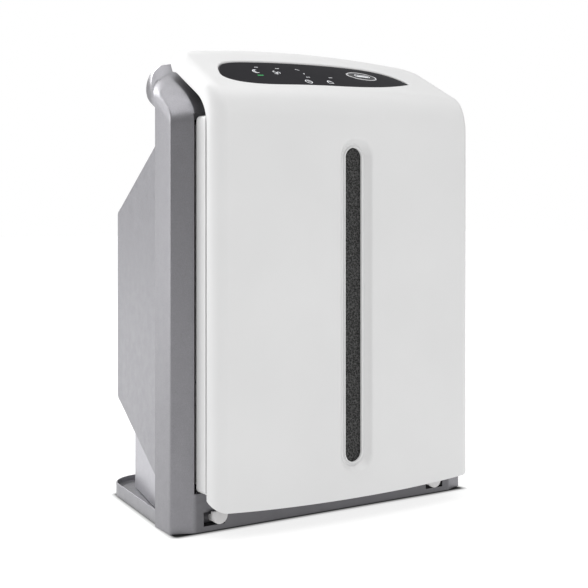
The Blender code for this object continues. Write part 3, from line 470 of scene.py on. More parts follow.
def glowing(name, colour, strength):
    finish = Finish(name, colour, 0.35, Emission_Color=(*colour, 1), Emission_Strength=strength)
    finish.tint(finish.noise(300, 1), shaded(colour, 0.9), shaded(colour, 1.1))
    return finish.material


WHITE_SHELL = moulded("white_shell", (0.755, 0.755, 0.755), 0.38)
WHITE_INNER = moulded("white_inner", (0.80, 0.80, 0.80), 0.44, 1100, 0.00004)
TAB_WHITE = moulded("tab_white", (0.74, 0.73, 0.73), 0.40)
SILVER = painted("tray_silver", (0.250, 0.248, 0.262), 0.38, 0.80)
# the frame's paint carries painted shade on the sill between the pillars
FRAME_SILVER = painted("frame_silver", (0.240, 0.237, 0.252), 0.38, 0.80, paint_sill_shade=True)
PALE_SILVER = painted("housing_silver", (0.265, 0.262, 0.281), 0.44, 0.45)
# the lower body carries the housing's pale silver paint in a lighter tone: painted light on its lower
# faces
LOWER_SILVER_PAINTED_LIGHT = painted("lower_silver_painted_light", (0.43, 0.426, 0.454), 0.44, 0.35)
VENT_GREY = moulded("vent_grey", (0.24, 0.24, 0.26), 0.55, 900, 0.00006)
SOFT_BLACK = moulded("soft_black", (0.022, 0.022, 0.024), 0.5, 900, 0.00006)
LENS = smoked_lens()
BUTTON_BLACK = moulded("button_black", (0.030, 0.030, 0.034), 0.24, 1200, 0.00001)
STEEL = brushed_metal("brushed_steel", (0.56, 0.57, 0.58), 0.34)
BRIGHT_RING = moulded("bright_ring", (0.78, 0.78, 0.80), 0.22, 900, 0.00001)
BOARD = circuit_board()
CORE = laminated_core()
RUBBER = moulded("rubber", (0.018, 0.018, 0.018), 0.8, 500, 0.00012)
FOAM = open_cell_foam()
PAPER = pleated_paper()
CARBON = carbon_granules()
TAPE = woven_tape()
PRINT = moulded("pale_print", (0.86, 0.87, 0.90), 0.5)
STATUS_GREEN = glowing("status_green", (0.02, 0.30, 0.08), 0.35)


# Cover surface ---------------------------------------------
def line_point(place, line):
    """A (y, z) point of a side line: up, rolled back to a slope, along it, over a crest."""
    face_y, roll_z, radius, slope, run, crest, low = line
    tilt = math.radians(slope)
    if place <= STRAIGHT_END:
        return face_y, low + (roll_z - low) * place / STRAIGHT_END
    angle = (math.pi / 2 - tilt) * min((place - STRAIGHT_END) / (ROLL_END - STRAIGHT_END), 1)
    y = face_y + radius * (1 - math.cos(angle))
    z = roll_z + radius * math.sin(angle)
    if place > ROLL_END:
        distance = run * min((place - ROLL_END) / (SLOPE_END - ROLL_END), 1)
        y, z = y + distance * math.cos(tilt), z + distance * math.sin(tilt)
    if place > SLOPE_END:
        share = (place - SLOPE_END) / (LINE_END - SLOPE_END)
        angle = tilt + (math.radians(CREST_SLOPE) - tilt) * share
        y += crest * (math.sin(tilt) - math.sin(angle))
        z += crest * (math.cos(angle) - math.cos(tilt))
    return y, z


def bulge(x, place):
    """How far a section at x stands out from the rim towards the middle line, 0 to 1.

    The side rolls are tightest at the front, fuller over the shoulder and widest behind.
    """
    depth = COVER_RIM - FRONT
    over = min(max((place - SHOULDER_START) / SHOULDER_SPAN, 0.0), 1.0)
    over = over * over * (3 - 2 * over)
    behind = max(0.0, place - ROLL_END) / (LINE_END - ROLL_END)
    bow = COVER_BOW + (CAP_BOW - COVER_BOW) * over
    power = 2 + (CAP_FULLNESS - 2) * over * (1 - behind)
    roll = COVER_ROLL + CAP_REAR_ROLL * behind
    flat = COVER_HALF - roll
    if abs(x) <= flat:
        return 1 - bow * x * x / depth
    across = min((abs(x) - flat) / roll, 1.0)
    return (1 - bow * flat**2 / depth) * (1 - across**power)**(1 / power)


def cover_point(x, place):
    middle, rim = line_point(place, MIDDLE_LINE), line_point(place, RIM_LINE)
    out = bulge(x, place)
    return Vector((x, rim[0] + (middle[0] - rim[0]) * out, rim[1] + (middle[1] - rim[1]) * out))


def cap_height(x, y):
    """Height of the cap above a point of the plan."""
    low, high = CAP_START, float(LINE_END)
    for _ in range(30):
        place = (low + high) / 2
        if cover_point(x, place).y < y:
            low = place
        else:
            high = place
    return cover_point(x, place).z


def slot_distance(x, z):
    """Distance in the front view from the slot's upright middle line."""
    nearest = min(max(z, SLOT_LOW + SLOT_HALF), SLOT_HIGH - SLOT_HALF)
    return math.hypot(x, z - nearest)


def funnel_depth(distance):
    """How far the cover is pressed in round the slot: a shallow dish, then a steep wall."""
    lead = LEAD_DEPTH * (max(0.0, LEAD_REACH - distance) / (LEAD_REACH - WALL_TOP))**2
    lead = min(lead, LEAD_DEPTH * LEAD_LIMIT)
    wall = WALL_PITCH * WALL_EASE * math.log1p(math.exp((WALL_TOP - distance) / WALL_EASE))
    return lead + min(wall, WALL_DEPTH)


def spaced(low, high, count):
    return [low + (high - low) * i / count for i in range(count)]


def cover_columns():
    """Places across the cover, closest on the funnel wall and on the rolled edges."""
    wall_end, dish_end = 0.026, 0.046
    right = spaced(0, MOUTH_HALF, 5) + spaced(MOUTH_HALF, wall_end, 13)
    right += spaced(wall_end, dish_end, 8) + spaced(dish_end, COVER_FLAT, 16)
    right += [COVER_FLAT + COVER_ROLL * math.sin(math.pi / 2 * i / 16) for i in range(17)]
    return [-x for x in reversed(right[1:])] + right


def cover_rows():
    """Places along the side line, closest at the slot's round ends and on the roll."""
    def at_height(z):
        return STRAIGHT_END * (z - COVER_LOW) / (MIDDLE_LINE[1] - COVER_LOW)
    step, round_end, dish_end = 0.003, 0.002, 0.040
    low_end, high_end = SLOT_LOW + SLOT_HALF, SLOT_HIGH - SLOT_HALF
    heights = [COVER_LOW, COVER_LOW + step]
    heights += spaced(COVER_LOW + 2 * step, low_end + round_end, 42)
    heights += spaced(low_end + round_end, high_end - round_end, 26)
    heights += spaced(high_end - round_end, high_end + dish_end, 34)
    rows = [at_height(z) for z in heights]
    rows += spaced(at_height(high_end + dish_end), STRAIGHT_END, 2)
    rows += spaced(STRAIGHT_END, ROLL_END, 22) + spaced(ROLL_END, SLOPE_END, 22)
    return rows + spaced(SLOPE_END, LINE_END, 12) + [LINE_END]


def stadium(half, y, steps=24):
    """An upright slot outline with round ends, concentric with the intake slot."""
    points = []
    for centre_z, start in ((SLOT_HIGH - SLOT_HALF, 0.0), (SLOT_LOW + SLOT_HALF, math.pi)):
        for i in range(steps + 1):
            angle = start + math.pi * i / steps
            points.append((half * math.cos(angle), y, centre_z + half * math.sin(angle)))
    return points


def lens_edges(x, grow=0.0):
    """Front and rear y of the lens outline at x, blunt at its left end and pointed at its right."""
    share = min(abs(x - LENS_X) / (LENS_HALF + max(grow, 0.0)), 1.0)
    if x < LENS_X:
        tip = LENS_TIP_Y - LENS_SKEW * share**2
        front, back = (1 - share**6)**0.6, (1 - share**12)**0.9
    else:
        tip, front, back = LENS_TIP_Y, 1 - share**2.2, (1 - share**6)**0.55
    return tip + (LENS_FRONT_Y - tip) * front - grow, tip + (LENS_BACK_Y - tip) * back + grow


def lens_outline(grow, steps=64):
    """The lens outline in plan, anticlockwise from its right tip."""
    half = (LENS_HALF + grow) * 0.9995       # just short of the tips, where both edges meet
    xs = [LENS_X + half * math.cos(math.pi * i / steps) for i in range(steps + 1)]
    rear = [(x, lens_edges(x, grow)[1]) for x in xs]
    return rear + [(x, lens_edges(x, grow)[0]) for x in reversed(xs)]


def on_cap(outline, offset):
    return [(x, y, cap_height(x, y) + offset) for x, y in outline]


def build_front_cover():
    columns, rows = cover_columns(), cover_rows()

    def place(column, row):
        point = cover_point(columns[column], rows[row])
        if rows[row] <= STRAIGHT_END:
            point.y += funnel_depth(slot_distance(point.x, point.z))
            fade = max(0.0, 1 - (point.z - COVER_LOW) / HEM_REACH)
            point.z += HEM_RISE * fade**2 * (1 - (point.x / COVER_HALF)**2)
        return point

    cover = laid_grid("cover_shell", len(columns) - 1, len(rows) - 1, place)
    thicken(cover, COVER_WALL, even=False)
    carve(cover, skinned("slot_tool", [stadium(MOUTH_HALF, y) for y in (FRONT - 0.01, FRONT + 0.03)]))
    carve(cover, skinned("cap_tool", [on_cap(lens_outline(CAP_CUT), offset)
                                      for offset in (-0.012, 0.012)]))
    smooth(cover, 40)
    edge_steps, roll = 5, CAP_CUT - CAP_EDGE
    sections = [(CAP_CUT + CAP_LAP, -0.5 * roll)]
    for i in range(edge_steps + 1):
        turn = math.pi / 2 * i / edge_steps
        sections.append((CAP_CUT - roll * math.sin(turn), -roll * (1 - math.cos(turn))))
    sections += [(CAP_EDGE, -CAP_EDGE_DEPTH), (CAP_CUT + CAP_LAP, -CAP_EDGE_DEPTH)]
    edge = skinned("cap_edge", [on_cap(lens_outline(grow), offset) for grow, offset in sections],
                   ring=True)
    smooth(edge, 50)
    seat(cover, "front_door", "white_plastic", WHITE_SHELL, "front_cover")
    seat(edge, "front_door", "white_plastic", WHITE_SHELL)


def build_intake_trim():
    low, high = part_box("intake_trim")
    lip, step = SLOT_HALF + LIP_WALL, FRONT + LIP_STEP
    nose = low.y + LIP_NOSE
    section = [(SLOT_HALF, high.y), (SLOT_HALF, nose), (SLOT_HALF + 0.0002, low.y + 0.0001),
               (SLOT_HALF + 0.00065, low.y), (lip - 0.0002, low.y + 0.0001), (lip, nose),
               (lip, step), (high.x, step), (high.x, high.y)]
    trim = skinned("slot_lip", [stadium(half, y) for half, y in section], ring=True)
    smooth(trim, 40)
    seat(trim, "front_door", "white_plastic", WHITE_INNER, "intake_trim")


def build_foam():
    """The foam pad, its face roughened where the slot shows it."""
    low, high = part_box("prefilter_foam")
    edge = SLOT_HALF + 0.003
    across = spaced(low.x, -edge, 6) + spaced(-edge, edge, 26) + spaced(edge, high.x, 6) + [high.x]
    rows, fine, coarse = 340, 900, 330

    def place(column, row):
        x, z = across[column], low.z + (high.z - low.z) * row / rows
        pit = noise.noise(Vector((x, 0.0, z)) * fine)
        pit += 0.6 * noise.noise(Vector((x, 7.0, z)) * coarse)
        return x, low.y + FOAM_SET_BACK + PIT_DEPTH * max(-1.0, min(1.0, pit)), z

    foam = laid_grid("foam_pad", len(across) - 1, rows, place)
    thicken(foam, high.y - low.y - 0.0008)
    smooth(foam, 60)
    seat(foam, "front_door", "foam", FOAM, "prefilter_foam")


def rim_lean(z):
    """How far the cover's rim has rolled back at height z."""
    roll_z, radius = RIM_LINE[1], RIM_LINE[2]
    rise = min(max(z - roll_z, 0.0), radius)
    return radius - math.sqrt(radius**2 - rise * rise)


def rounded_rect(half_x, low, high, radius, y, steps=8):
    """An upright rectangle with round corners, as points at depth y."""
    corners = ((half_x - radius, high - radius, 0.0), (radius - half_x, high - radius, 0.5),
               (radius - half_x, low + radius, 1.0), (half_x - radius, low + radius, 1.5))
    points = []
    for centre_x, centre_z, turn in corners:
        for i in range(steps + 1):
            angle = math.pi * (turn + 0.5 * i / steps)
            points.append((centre_x + radius * math.cos(angle), y, centre_z + radius * math.sin(angle)))
    return points


def build_door_band():
    low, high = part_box("door_band")
    rings = []
    for inset, y in ((0.0, COVER_RIM), (0.0, high.y), (BAND_WALL, high.y), (BAND_WALL, COVER_RIM)):
        ring = rounded_rect(high.x - inset, low.z + inset, high.z - inset, BAND_CORNER - inset, y)
        if y == COVER_RIM:
            ring = [(x, y + BAND_FRONT_GAP + rim_lean(z), z) for x, y, z in ring]
        rings.append(ring)
    band = ease(skinned("door_rim", rings, ring=True), 0.0006, 2, 50)
    seat(smooth(band), "front_door", "white_plastic", WHITE_INNER, "door_band")


# Controls --------------------------------------------------
def press_normal():
    """Outward direction of the power button's travel."""
    reach = 0.004
    rise = cap_height(BUTTON_X, BUTTON_Y + reach) - cap_height(BUTTON_X, BUTTON_Y - reach)
    return Vector((0.0, -rise, 2 * reach)).normalized()


def oval(grow, offset, steps=56):
    """An oval round the power button, offset outwards from the cap."""
    loop = []
    for i in range(steps):
        angle = 2 * math.pi * i / steps
        x = BUTTON_X + (BUTTON_HALF[0] + grow) * math.cos(angle)
        y = BUTTON_Y + (BUTTON_HALF[1] + grow) * math.sin(angle)
        loop.append(Vector((x, y, cap_height(x, y))) + press_normal() * offset)
    return loop


def build_lens():
    columns, rows = 88, 14

    def place(column, row):
        x = LENS_X + LENS_HALF * 0.998 * math.sin(math.pi * (column / columns - 0.5))
        front, back = lens_edges(x)
        y = front + (back - front) * row / rows
        return x, y, cap_height(x, y) - LENS_DROP

    lens = thicken(laid_grid("lens_plate", columns, rows, place), LENS_WALL)
    carve(lens, skinned("ring_tool", [oval(RING_WIDTH + GAP, -0.020), oval(RING_WIDTH + GAP, 0.010)]))
    smooth(lens, 30)
    seat(lens, "root", "gloss_black", LENS, "control_lens")


def build_button():
    top = -LENS_DROP + 0.0006
    rounding = 6
    section = [(GAP, -LENS_DROP - RING_DEPTH)]
    for i in range(rounding + 1):
        turn = math.pi * i / rounding
        section.append((GAP + (RING_WIDTH - GAP) * (1 - math.cos(turn)) / 2,
                        top - RING_CROWN + RING_CROWN * math.sin(turn)))
    section.append((RING_WIDTH, -LENS_DROP - RING_DEPTH))
    ring = skinned("button_surround", [oval(*point) for point in section], ring=True)
    seat(smooth(ring, 50), "root", "chrome", BRIGHT_RING, "button_ring")
    crown = -LENS_DROP + BUTTON_RISE
    # how far each level stands in from the button's outline, and its height
    levels = ((-0.0001, -LENS_DROP - BUTTON_DEPTH), (-0.0001, crown - 0.0009),
              (-0.0003, crown - 0.0004), (-0.0008, crown - 0.0001), (-0.0015, crown),
              (-0.0035, crown - 0.0001), (-0.0070, crown - 0.0003))
    button = skinned("button_cap", [oval(*point) for point in levels])
    seat(smooth(button, 40), "button", "gloss_black", BUTTON_BLACK, "power_button")


def arc(radius, start, end, steps=14, centre=(0.0, 0.0)):
    """Points of an arc between two angles in degrees."""
    angles = [math.radians(start + (end - start) * i / steps) for i in range(steps + 1)]
    return [(centre[0] + radius * math.cos(a), centre[1] + radius * math.sin(a)) for a in angles]


def petal(turn, reach=0.0046, steps=10):
    """One blade of a fan sign, as an outline."""
    points = []
    for i in range(steps + 1):
        share = i / steps
        angle = math.radians(turn + 62 * math.sin(math.pi * share))
        radius = reach * math.sin(math.pi * share / 2)
        points.append((radius * math.cos(angle), radius * math.sin(angle)))
    return points


def stroke(name, centre, path, width, base=-LENS_DROP, offset=0.00012):
    """A printed line of one width that follows a path on the lens or the button, about a centre."""
    count = len(path) - 1

    def place(column, row):
        here = Vector(path[column])
        ahead = Vector(path[min(column + 1, count)]) - Vector(path[max(column - 1, 0)])
        side = Vector((-ahead.y, ahead.x)).normalized() * width * (row - 0.5)
        x, y = centre[0] + here.x + side.x, centre[1] + here.y + side.y
        return x, y, cap_height(x, y) + base + offset

    return laid_grid(name, count, 1, place)


def signs():
    """Centre and strokes of each printed sign: plain touch marks with no lettering."""
    dash = [(-0.0026, 0.0), (0.0026, 0.0)]
    sleep = [arc(0.0042, 60, 300), arc(0.0046, 105, 255, centre=(0.0026, 0.0))]
    fan = [petal(90), petal(210), petal(330)]
    clock = [arc(0.0042, 0, 360, 24), [(0.0, 0.0030), (0.0, 0.0), (0.0022, 0.0)]]
    lock = [[(-0.0034, 0.0006), (-0.0034, -0.0040), (0.0034, -0.0040), (0.0034, 0.0006),
             (-0.0034, 0.0006)], arc(0.0022, 0, 180, centre=(0.0, 0.0010))]
    dot = [arc(0.0006, 0, 360, 8)]
    return (
        ((-0.0955, -0.0741), [dash]), ((-0.1027, -0.0856), sleep),
        ((-0.0674, -0.0767), [dash]), ((-0.0758, -0.0885), fan),
        ((-0.0393, -0.0780), [[(-0.0022, 0.0016), (0.0022, -0.0016)]]), ((-0.0367, -0.0893), dot),
        ((-0.0375, -0.0990), [dash]), ((-0.0451, -0.1120), clock),
        ((-0.0029, -0.0969), [dash]), ((-0.0133, -0.1100), lock),
    )


def build_signs():
    parts = []
    for centre, strokes in signs():
        parts += [stroke("sign_line", centre, path, SIGN_LINE) for path in strokes]
    printed = thicken(joined("touch_signs", parts), SIGN_WALL)
    seat(printed, "root", "white_plastic", PRINT)
    status = stroke("status_bar", (-0.1032, -0.0967), [(-0.0040, 0.0), (0.0040, 0.0)], 0.0020)
    seat(thicken(status, SIGN_WALL), "root", "white_plastic", STATUS_GREEN)
    # a rounded bar, as a broad outline with a line along it, laid on the button
    reach = 0.0085
    bar = arc(0.0026, 90, 270, 8, (-reach, 0.0)) + arc(0.0026, -90, 90, 8, (reach, 0.0))
    lines = ((bar + bar[:1], 0.0012), ([(-reach, -0.0008), (reach, -0.0008)], 0.0024))
    parts = [stroke("power_line", (BUTTON_X, BUTTON_Y - 0.0006), path, width, -LENS_DROP + 0.00075)
             for path, width in lines]
    seat(thicken(joined("power_sign", parts), SIGN_WALL), "button", "white_plastic", PRINT)


# Body frame ------------------------------------------------
def hood_outline(x):
    """The hood's side outline at x, as (place, y, z): up under the cap and over the rear lip."""
    rise = 1 - (x / FRAME_REAR_HALF)**2
    crown, console = HOOD_CROWN * rise, CONSOLE_CROWN * rise
    points = []
    steps = 18
    for i in range(steps + 1):
        turn = math.pi / 2 * i / steps
        lead = 0.25 * math.sin(turn) + 0.75 * i / steps
        y = FRAME_FACE + CONSOLE_REACH * (1 - math.cos(turn)) - 0.35 * console * lead
        points.append((6 * i / steps, y, SHOULDER_Z + CONSOLE_RISE * lead + console * lead))
    middle_y, middle_z = FRAME_FACE + HOOD_LIP_Y, HOOD_LIP_Z + 0.5 * crown
    radius_y, radius_z = HOOD_LIP_RADII[0], HOOD_LIP_RADII[1] + 0.5 * crown
    for i in range(steps + 1):
        angle = math.radians(100 - 190 * i / steps)
        points.append((7 + 6 * i / steps, middle_y + radius_y * math.cos(angle),
                       middle_z + radius_z * math.sin(angle)))
    points.append((14, FRAME_REAR, HOOD_LIP_END))
    return points


def frame_front(out):
    """The frame's front y at a distance from its middle plane, its corners eased."""
    front = FRAME_FACE + max(0.0, out - FRAME_FACE_HALF) * CHAMFER_SLOPE
    near = (out - FRAME_HALF + CORNER_EASE) / CORNER_EASE
    if near > 0:
        front += 1.3 * CORNER_EASE * (1 - math.sqrt(max(0.0, 1 - near * near)))
    return front


def frame_section(x):
    """Side outline of the whole frame at x, from the sill to the hood."""
    out = abs(x)
    front, rear, shoulder_rise = frame_front(out), FRAME_REAR, SHOULDER_RISE
    corner_y = frame_front(FRAME_HALF) + 0.0004
    past = (out - FRAME_REAR_HALF) / (FRAME_HALF - FRAME_REAR_HALF)
    if past > 0:
        rear = FRAME_REAR + (corner_y - FRAME_REAR) * past
        shoulder_rise = SHOULDER_RISE + (0.001 - SHOULDER_RISE) * past
    across = max(0.0, out - FRAME_REAR_HALF + HOOD_ROUND) / HOOD_ROUND
    share = math.sqrt(max(0.0, 1 - across * across))
    points = []
    for place, y, z in hood_outline(x):
        turn = math.pi / 2 * min(place / 6, 1.0)
        side_y = front + (rear - front) * (1 - math.cos(turn))
        side_z = SHOULDER_Z + shoulder_rise * (math.sin(turn) - 0.04 * max(0, place - 6))
        fade = min(max(place - 4, 0.0), 1.0)
        offset = (front - FRAME_FACE) * (1 - fade * fade * (3 - 2 * fade))
        points.append((side_y + (y + offset - side_y) * share, side_z + (z - side_z) * share))
    foot = FRAME_LOW
    points = [(front + 0.0008, foot), (front, foot + 0.0008), (front, 0.5 * SHOULDER_Z)] + points
    points += [(rear, 0.5 * SHOULDER_Z), (rear, foot)]
    return [(x, y, z) for y, z in points]


def frame_stations():
    start = FRAME_REAR_HALF - HOOD_ROUND
    middle = spaced(0, start, 12)
    crease = [start, FRAME_FACE_HALF - 0.0006, FRAME_FACE_HALF, FRAME_FACE_HALF + 0.0012]
    roll = [FRAME_REAR_HALF - HOOD_ROUND * (1 - math.sin(math.pi / 2 * i / 18)) for i in range(6, 19)]
    corner = [FRAME_HALF - CORNER_EASE * (1 - math.sin(math.pi / 2 * i / 5)) for i in range(6)]
    right = sorted(set(middle + crease + roll + corner))
    return [-x for x in reversed(right[1:])] + right


def build_body_frame():
    """The frame with its door mouth, filter bay, rear window, sill channel and side hollows."""
    body = skinned("painted_frame", [frame_section(x) for x in frame_stations()])
    face, rear = FRAME_FACE, FRAME_REAR
    hollows = [
        ((-MOUTH_EDGE, face - 0.02, BAY_LOW), (MOUTH_EDGE, face + 0.006, BAY_HIGH + 0.0015)),
        ((-BAY_HALF, face + 0.002, BAY_LOW + 0.003), (BAY_HALF, rear - 0.0015, BAY_HIGH - 0.006)),
        ((-0.180, rear - 0.01, 0.066), (0.180, rear + 0.01, 0.437)),
        ((-0.140, face + 0.004, -0.01), (0.140, rear - 0.004, 0.0425)),
    ]
    # on each side: the relief beside the mouth, the slot of the foot tab, the hollow of the pillar
    sides = (
        (BAY_HALF - 0.001, MOUTH_EDGE, face, face + 0.013, BAY_LOW, BAY_HIGH - 0.006),
        (0.1500, 0.1780, face - 0.01, face + 0.014, 0.0074, 0.0235),
        (0.1890, 0.2103, face + 0.015, rear - 0.003, -0.01, 0.460),
    )
    for side in (-1, 1):
        for near, far, front, back, foot, top in sides:
            left, right = sorted((side * near, side * far))
            hollows.append(((left, front, foot), (right, back, top)))
    for low, high in hollows:
        carve(body, block("hollow_tool", low, high))
    well = [on_cap(lens_outline(0.0, 24), offset) for offset in (-0.029, 0.03)]
    carve(body, skinned("well_tool", well))
    smooth(body, 30)
    seat(body, "root", "silver_paint", FRAME_SILVER, "body_frame")


# Rear housing, lower body and tray -------------------------
def housing_loop(y, wall=0.0):
    """Section of the rear housing at depth y, set in by the wall."""
    reach = HOUSING_REAR - HOUSING_TUCK
    share = min((y - HOUSING_FRONT) / (reach - HOUSING_FRONT), 1.0)
    past = max(0.0, y - reach) / HOUSING_TUCK
    tuck = HOUSING_TUCK * (1 - math.sqrt(max(0.0, 1 - past * past)))
    half = HOUSING_HALF[0] - HOUSING_HALF[1] * share
    low = HOUSING_LOW[0] + HOUSING_LOW[1] * share
    high = HOUSING_HIGH[0] - HOUSING_HIGH[1] * share
    inset = wall + tuck
    return rounded_rect(half - inset, low + inset, high - inset, HOUSING_CORNER - wall, y)


def build_rear_housing():
    reach = HOUSING_REAR - HOUSING_TUCK
    turns = [reach + HOUSING_TUCK * math.sin(math.pi / 2 * i / 8) for i in range(9)]
    outer = [housing_loop(y) for y in spaced(HOUSING_FRONT, reach, 6) + turns]
    inner = [housing_loop(y, HOUSING_WALL) for y in (HOUSING_FRONT, reach, HOUSING_REAR - HOUSING_WALL)]
    housing = skinned("rear_shell", inner[::-1] + outer)
    low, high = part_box("outlet_grille")
    carve(housing, block("vent_tool", (low.x - GAP, low.y - GAP, 0.33),
                         (high.x + GAP, high.y + GAP, 0.48)))
    smooth(housing, 30)
    seat(housing, "root", "pale_silver_paint", PALE_SILVER, "rear_housing")


def plan_outline(half_at, front, rear, radius, height, steps=14):
    """Plan outline with two round rear corners; height gives z from y."""
    turn_y = rear - radius
    edge = half_at(turn_y)
    right = [(half_at(front), front, height(front))]
    for i in range(steps + 1):
        angle = math.pi / 2 * i / steps
        y = turn_y + radius * math.sin(angle)
        right.append((edge - radius + radius * math.cos(angle), y, height(y)))
    return right + [(-x, y, z) for x, y, z in reversed(right)]


def build_lower_body():
    floor = TRAY_FLOOR + GAP
    reach = HOUSING_REAR - HOUSING_TUCK

    def half_at(y):
        return LOWER_HALF - LOWER_NARROWS * (y - FRAME_REAR) / LOWER_RUN

    def under(y):
        share = min((y - HOUSING_FRONT) / (reach - HOUSING_FRONT), 1.0)
        return HOUSING_LOW[0] + HOUSING_LOW[1] * share - GAP

    def outline(inset, height, front):
        return plan_outline(lambda y: half_at(y) - inset, front, LOWER_REAR - inset,
                            LOWER_CORNER - inset, height)

    body = skinned("lower_shell", [outline(0.0006, lambda y: floor, HOUSING_FRONT),
                                   outline(0.0, lambda y: floor + 0.0006, HOUSING_FRONT),
                                   outline(0.0, under, HOUSING_FRONT)])
    wall, front = HOUSING_WALL, HOUSING_FRONT - 0.02
    carve(body, skinned("lower_tool", [outline(wall, lambda y: floor + wall, front),
                                       outline(wall, lambda y: 0.15, front)]))
    low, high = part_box("power_inlet")
    carve(body, block("inlet_tool", (low.x - GAP, 0.100, low.z - GAP),
                      (high.x + GAP, 0.130, high.z + GAP)))
    seat(smooth(body, 30), "root", "pale_silver_paint", LOWER_SILVER_PAINTED_LIGHT, "lower_body")


def build_base_tray():
    low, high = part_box("base_tray")

    def outline(inset, z, front=low.y):
        return plan_outline(lambda y: TRAY_HALF - TRAY_NARROWS * (y + TRAY_START) / TRAY_RUN - inset,
                            front, high.y - inset, TRAY_CORNER - inset, lambda y: z)

    tray = skinned("cord_tray", [
        outline(0.0015, low.z), outline(0.0004, low.z + 0.0008), outline(0.0, low.z + 0.0025),
        outline(0.0, high.z - TRAY_EASE), outline(0.3 * TRAY_EASE, high.z - 0.3 * TRAY_EASE),
        outline(TRAY_EASE, high.z)])
    hollow = ((0.0012, TRAY_FLOOR), (0.0, TRAY_FLOOR + 0.0012), (-0.0004, high.z - 0.0004),
              (-0.0010, high.z + 0.0010))
    carve(tray, skinned("tray_tool", [outline(TRAY_WALL + inset, z, FRAME_REAR - 0.02)
                                      for inset, z in hollow]))
    seat(smooth(tray, 30), "root", "silver_paint", SILVER, "base_tray")


def build_housing_screws():
    """Pan-head screws with a cross recess, one for each screw node on the rear face."""
    for node in ("lower_left_screw", "lower_right_screw", "upper_left_screw", "upper_right_screw"):
        low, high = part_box(node)
        centre = (low + high) / 2
        radius, deep = (high.x - low.x) / 2, high.y - low.y
        deselect()
        bpy.ops.mesh.primitive_cylinder_add(vertices=32, radius=radius, depth=deep, location=centre,
                                            rotation=(math.pi / 2, 0, 0))
        bpy.ops.object.transform_apply(location=True, rotation=True, scale=True)
        screw = ease(named(node + "_head"), 0.0006, 3, 50)
        arm, slit, depth = 0.6 * radius, 0.00055, 0.0010
        for across, up in ((arm, slit), (slit, arm)):
            carve(screw, block("recess_tool", (centre.x - across, high.y - depth, centre.z - up),
                               (centre.x + across, high.y + depth, centre.z + up)))
        seat(smooth(screw, 30), "root", "steel", STEEL, node)


# Pieces whose own shape only needs its edges rounded: node, new name, width, body, slot, finish
# A star stands for left and right in turn
EASED_PIECES = (
    ("*_hinge_foot", "*_foot_tab", 0.0007, "front_door", "white_plastic", TAB_WHITE),
    ("outlet_grille", "outlet_louvre", 0.0004, "root", "grey_plastic", VENT_GREY),
    ("power_inlet", "inlet_body", 0.0005, "root", "black_plastic", SOFT_BLACK),
    ("particle_filter_frame", "particle_filter_rim", 0.0006, "root", "white_plastic", WHITE_INNER),
    ("carbon_filter_frame", "carbon_filter_rim", 0.0006, "root", "black_plastic", SOFT_BLACK),
    ("prefilter_grid", "prefilter_lattice", 0.0004, "front_door", "grey_plastic", VENT_GREY),
    ("*_cover_magnet", "*_magnet_block", 0.0004, "front_door", "steel", STEEL),
    ("*_catch_plate", "*_catch", 0.0002, "root", "steel", STEEL),
    ("*_pull_tab", "*_tape_tab", 0.0004, "root", "tab_fabric", TAPE),
    ("door_sensor", "door_sensor_cap", 0.0002, "root", "black_plastic", SOFT_BLACK),
)

# Finishes of the nodes that keep their own shape -----------
NODE_FINISHES = (
    (SOFT_BLACK, ("control_housing", "button_switch", "fan_impeller", "board_capacitor",
                  "particle_sensor")),
    (VENT_GREY, ("fan_bulkhead", "inlet_bellmouth", "fan_scroll", "motor_bracket")),
    (STEEL, ("inlet_guard", "motor_shaft", "hub_nut", "fan_motor", "inlet_contacts",
             "motor_screw_1", "motor_screw_2", "motor_screw_3")),
    (RUBBER, ("front_left_foot", "front_right_foot", "rear_left_foot", "rear_right_foot",
              "motor_damper_1", "motor_damper_2", "motor_damper_3")),
    (BOARD, ("control_board", "main_board")),
    (CORE, ("power_transformer",)),
    (PAPER, ("particle_filter_media",)),
    (CARBON, ("carbon_filter_pad",)),
)


def dress_nodes():
    for nodes, names, width, body, slot, finish in EASED_PIECES:
        for side in ("left", "right") if "*" in nodes else ("",):
            node, name = nodes.replace("*", side), names.replace("*", side)
            seat(eased_copy(node, name, width), body, slot, finish, node)
    for finish, nodes in NODE_FINISHES:
        for node in nodes:
            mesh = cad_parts[node].data
            mesh.materials.clear()
            mesh.materials.append(finish)


# Studio ----------------------------------------------------
EYE = Vector((-0.850671, -1.288161, 0.373558))
TURN = 0.588113              # the view turns this far from +Y towards +X, in radians
FOCAL_LENGTH, SENSOR = 73.469, 36.0
LENS_SHIFT = -0.15089


def build_camera():
    data = bpy.data.cameras.new("camera")
    data.lens, data.sensor_width, data.shift_y, data.clip_start = FOCAL_LENGTH, SENSOR, LENS_SHIFT, 0.01
    camera = bpy.data.objects.new("camera", data)
    camera.location = EYE
    camera.rotation_euler = (math.pi / 2, 0, -TURN)
    bpy.context.scene.collection.objects.link(camera)
    bpy.context.scene.camera = camera


def soft_box(name, place, aim, size, power):
    data = bpy.data.lights.new(name, "AREA")
    data.shape, data.size, data.size_y = "RECTANGLE", size[0], size[1]
    data.energy = power
    light = bpy.data.objects.new(name, data)
    light.location = place
    light.rotation_euler = (Vector(aim) - Vector(place)).to_track_quat("-Z", "Y").to_euler()
    bpy.context.scene.collection.objects.link(light)


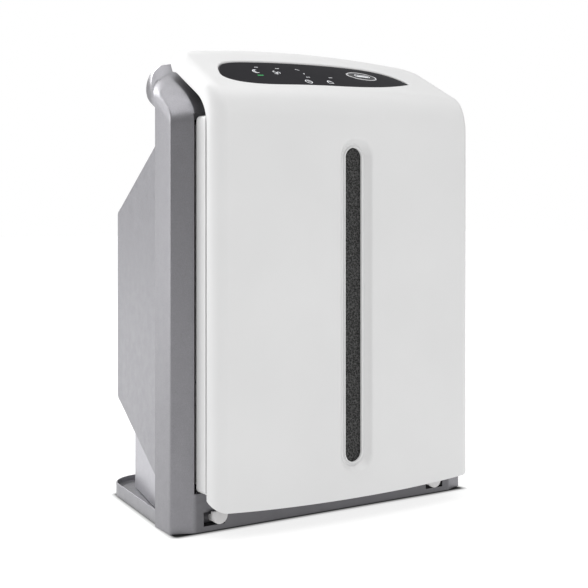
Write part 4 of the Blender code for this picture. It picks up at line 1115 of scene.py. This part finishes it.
def build_studio():
    deselect()
    bpy.ops.mesh.primitive_plane_add(size=24, location=(0, 0, 0))
    floor = named("studio_floor")
    finish = Finish("studio_floor", (0.26, 0.26, 0.26), 0.9, Emission_Color=(1, 1, 1, 1))
    grey = finish.tint(finish.noise(3, 2), (0.25, 0.25, 0.25), (0.27, 0.27, 0.27))
    # the floor's glow fades round the base as a painted shadow, with a painted dark contact line
    finish.glow_with_painted_contact_shadow(0.80, grey)
    floor.data.materials.append(finish.material)

    world = bpy.data.worlds.new("studio")
    bpy.context.scene.world = world
    world.use_nodes = True
    background = world.node_tree.nodes["Background"]
    background.inputs["Color"].default_value = (1, 1, 1, 1)
    background.inputs["Strength"].default_value = 0.36
    seen = world.node_tree.nodes.new("ShaderNodeBackground")
    seen.inputs["Color"].default_value = (1, 1, 1, 1)
    seen.inputs["Strength"].default_value = 1.0
    path = world.node_tree.nodes.new("ShaderNodeLightPath")
    mix = world.node_tree.nodes.new("ShaderNodeMixShader")
    links = world.node_tree.links
    links.new(path.outputs["Is Camera Ray"], mix.inputs["Fac"])
    links.new(background.outputs[0], mix.inputs[1])
    links.new(seen.outputs[0], mix.inputs[2])
    links.new(mix.outputs[0], world.node_tree.nodes["World Output"].inputs["Surface"])

    sky = bpy.data.lights.new("overhead_sun", "SUN")
    sky.energy, sky.angle = 2.10, math.radians(70)
    overhead = bpy.data.objects.new("overhead_sun", sky)
    overhead.rotation_euler = (math.radians(4), math.radians(-2), 0)
    bpy.context.scene.collection.objects.link(overhead)
    soft_box("left_box", (-1.9, 1.7, 0.9), (0, 0, 0.25), (1.8, 1.8), 29)
    soft_box("back_box", (-0.4, 2.4, 2.2), (0, 0, 0.4), (2.4, 1.2), 66)
    soft_box("front_box", (0.9, -2.6, 1.7), (0, 0, 0.3), (2.2, 1.6), 9)
    bpy.context.scene.view_settings.view_transform = "Standard"


build_front_cover()
build_intake_trim()
build_foam()
build_door_band()
build_lens()
build_button()
build_signs()
build_body_frame()
build_rear_housing()
build_lower_body()
build_base_tray()
build_housing_screws()
dress_nodes()
build_camera()
build_studio()
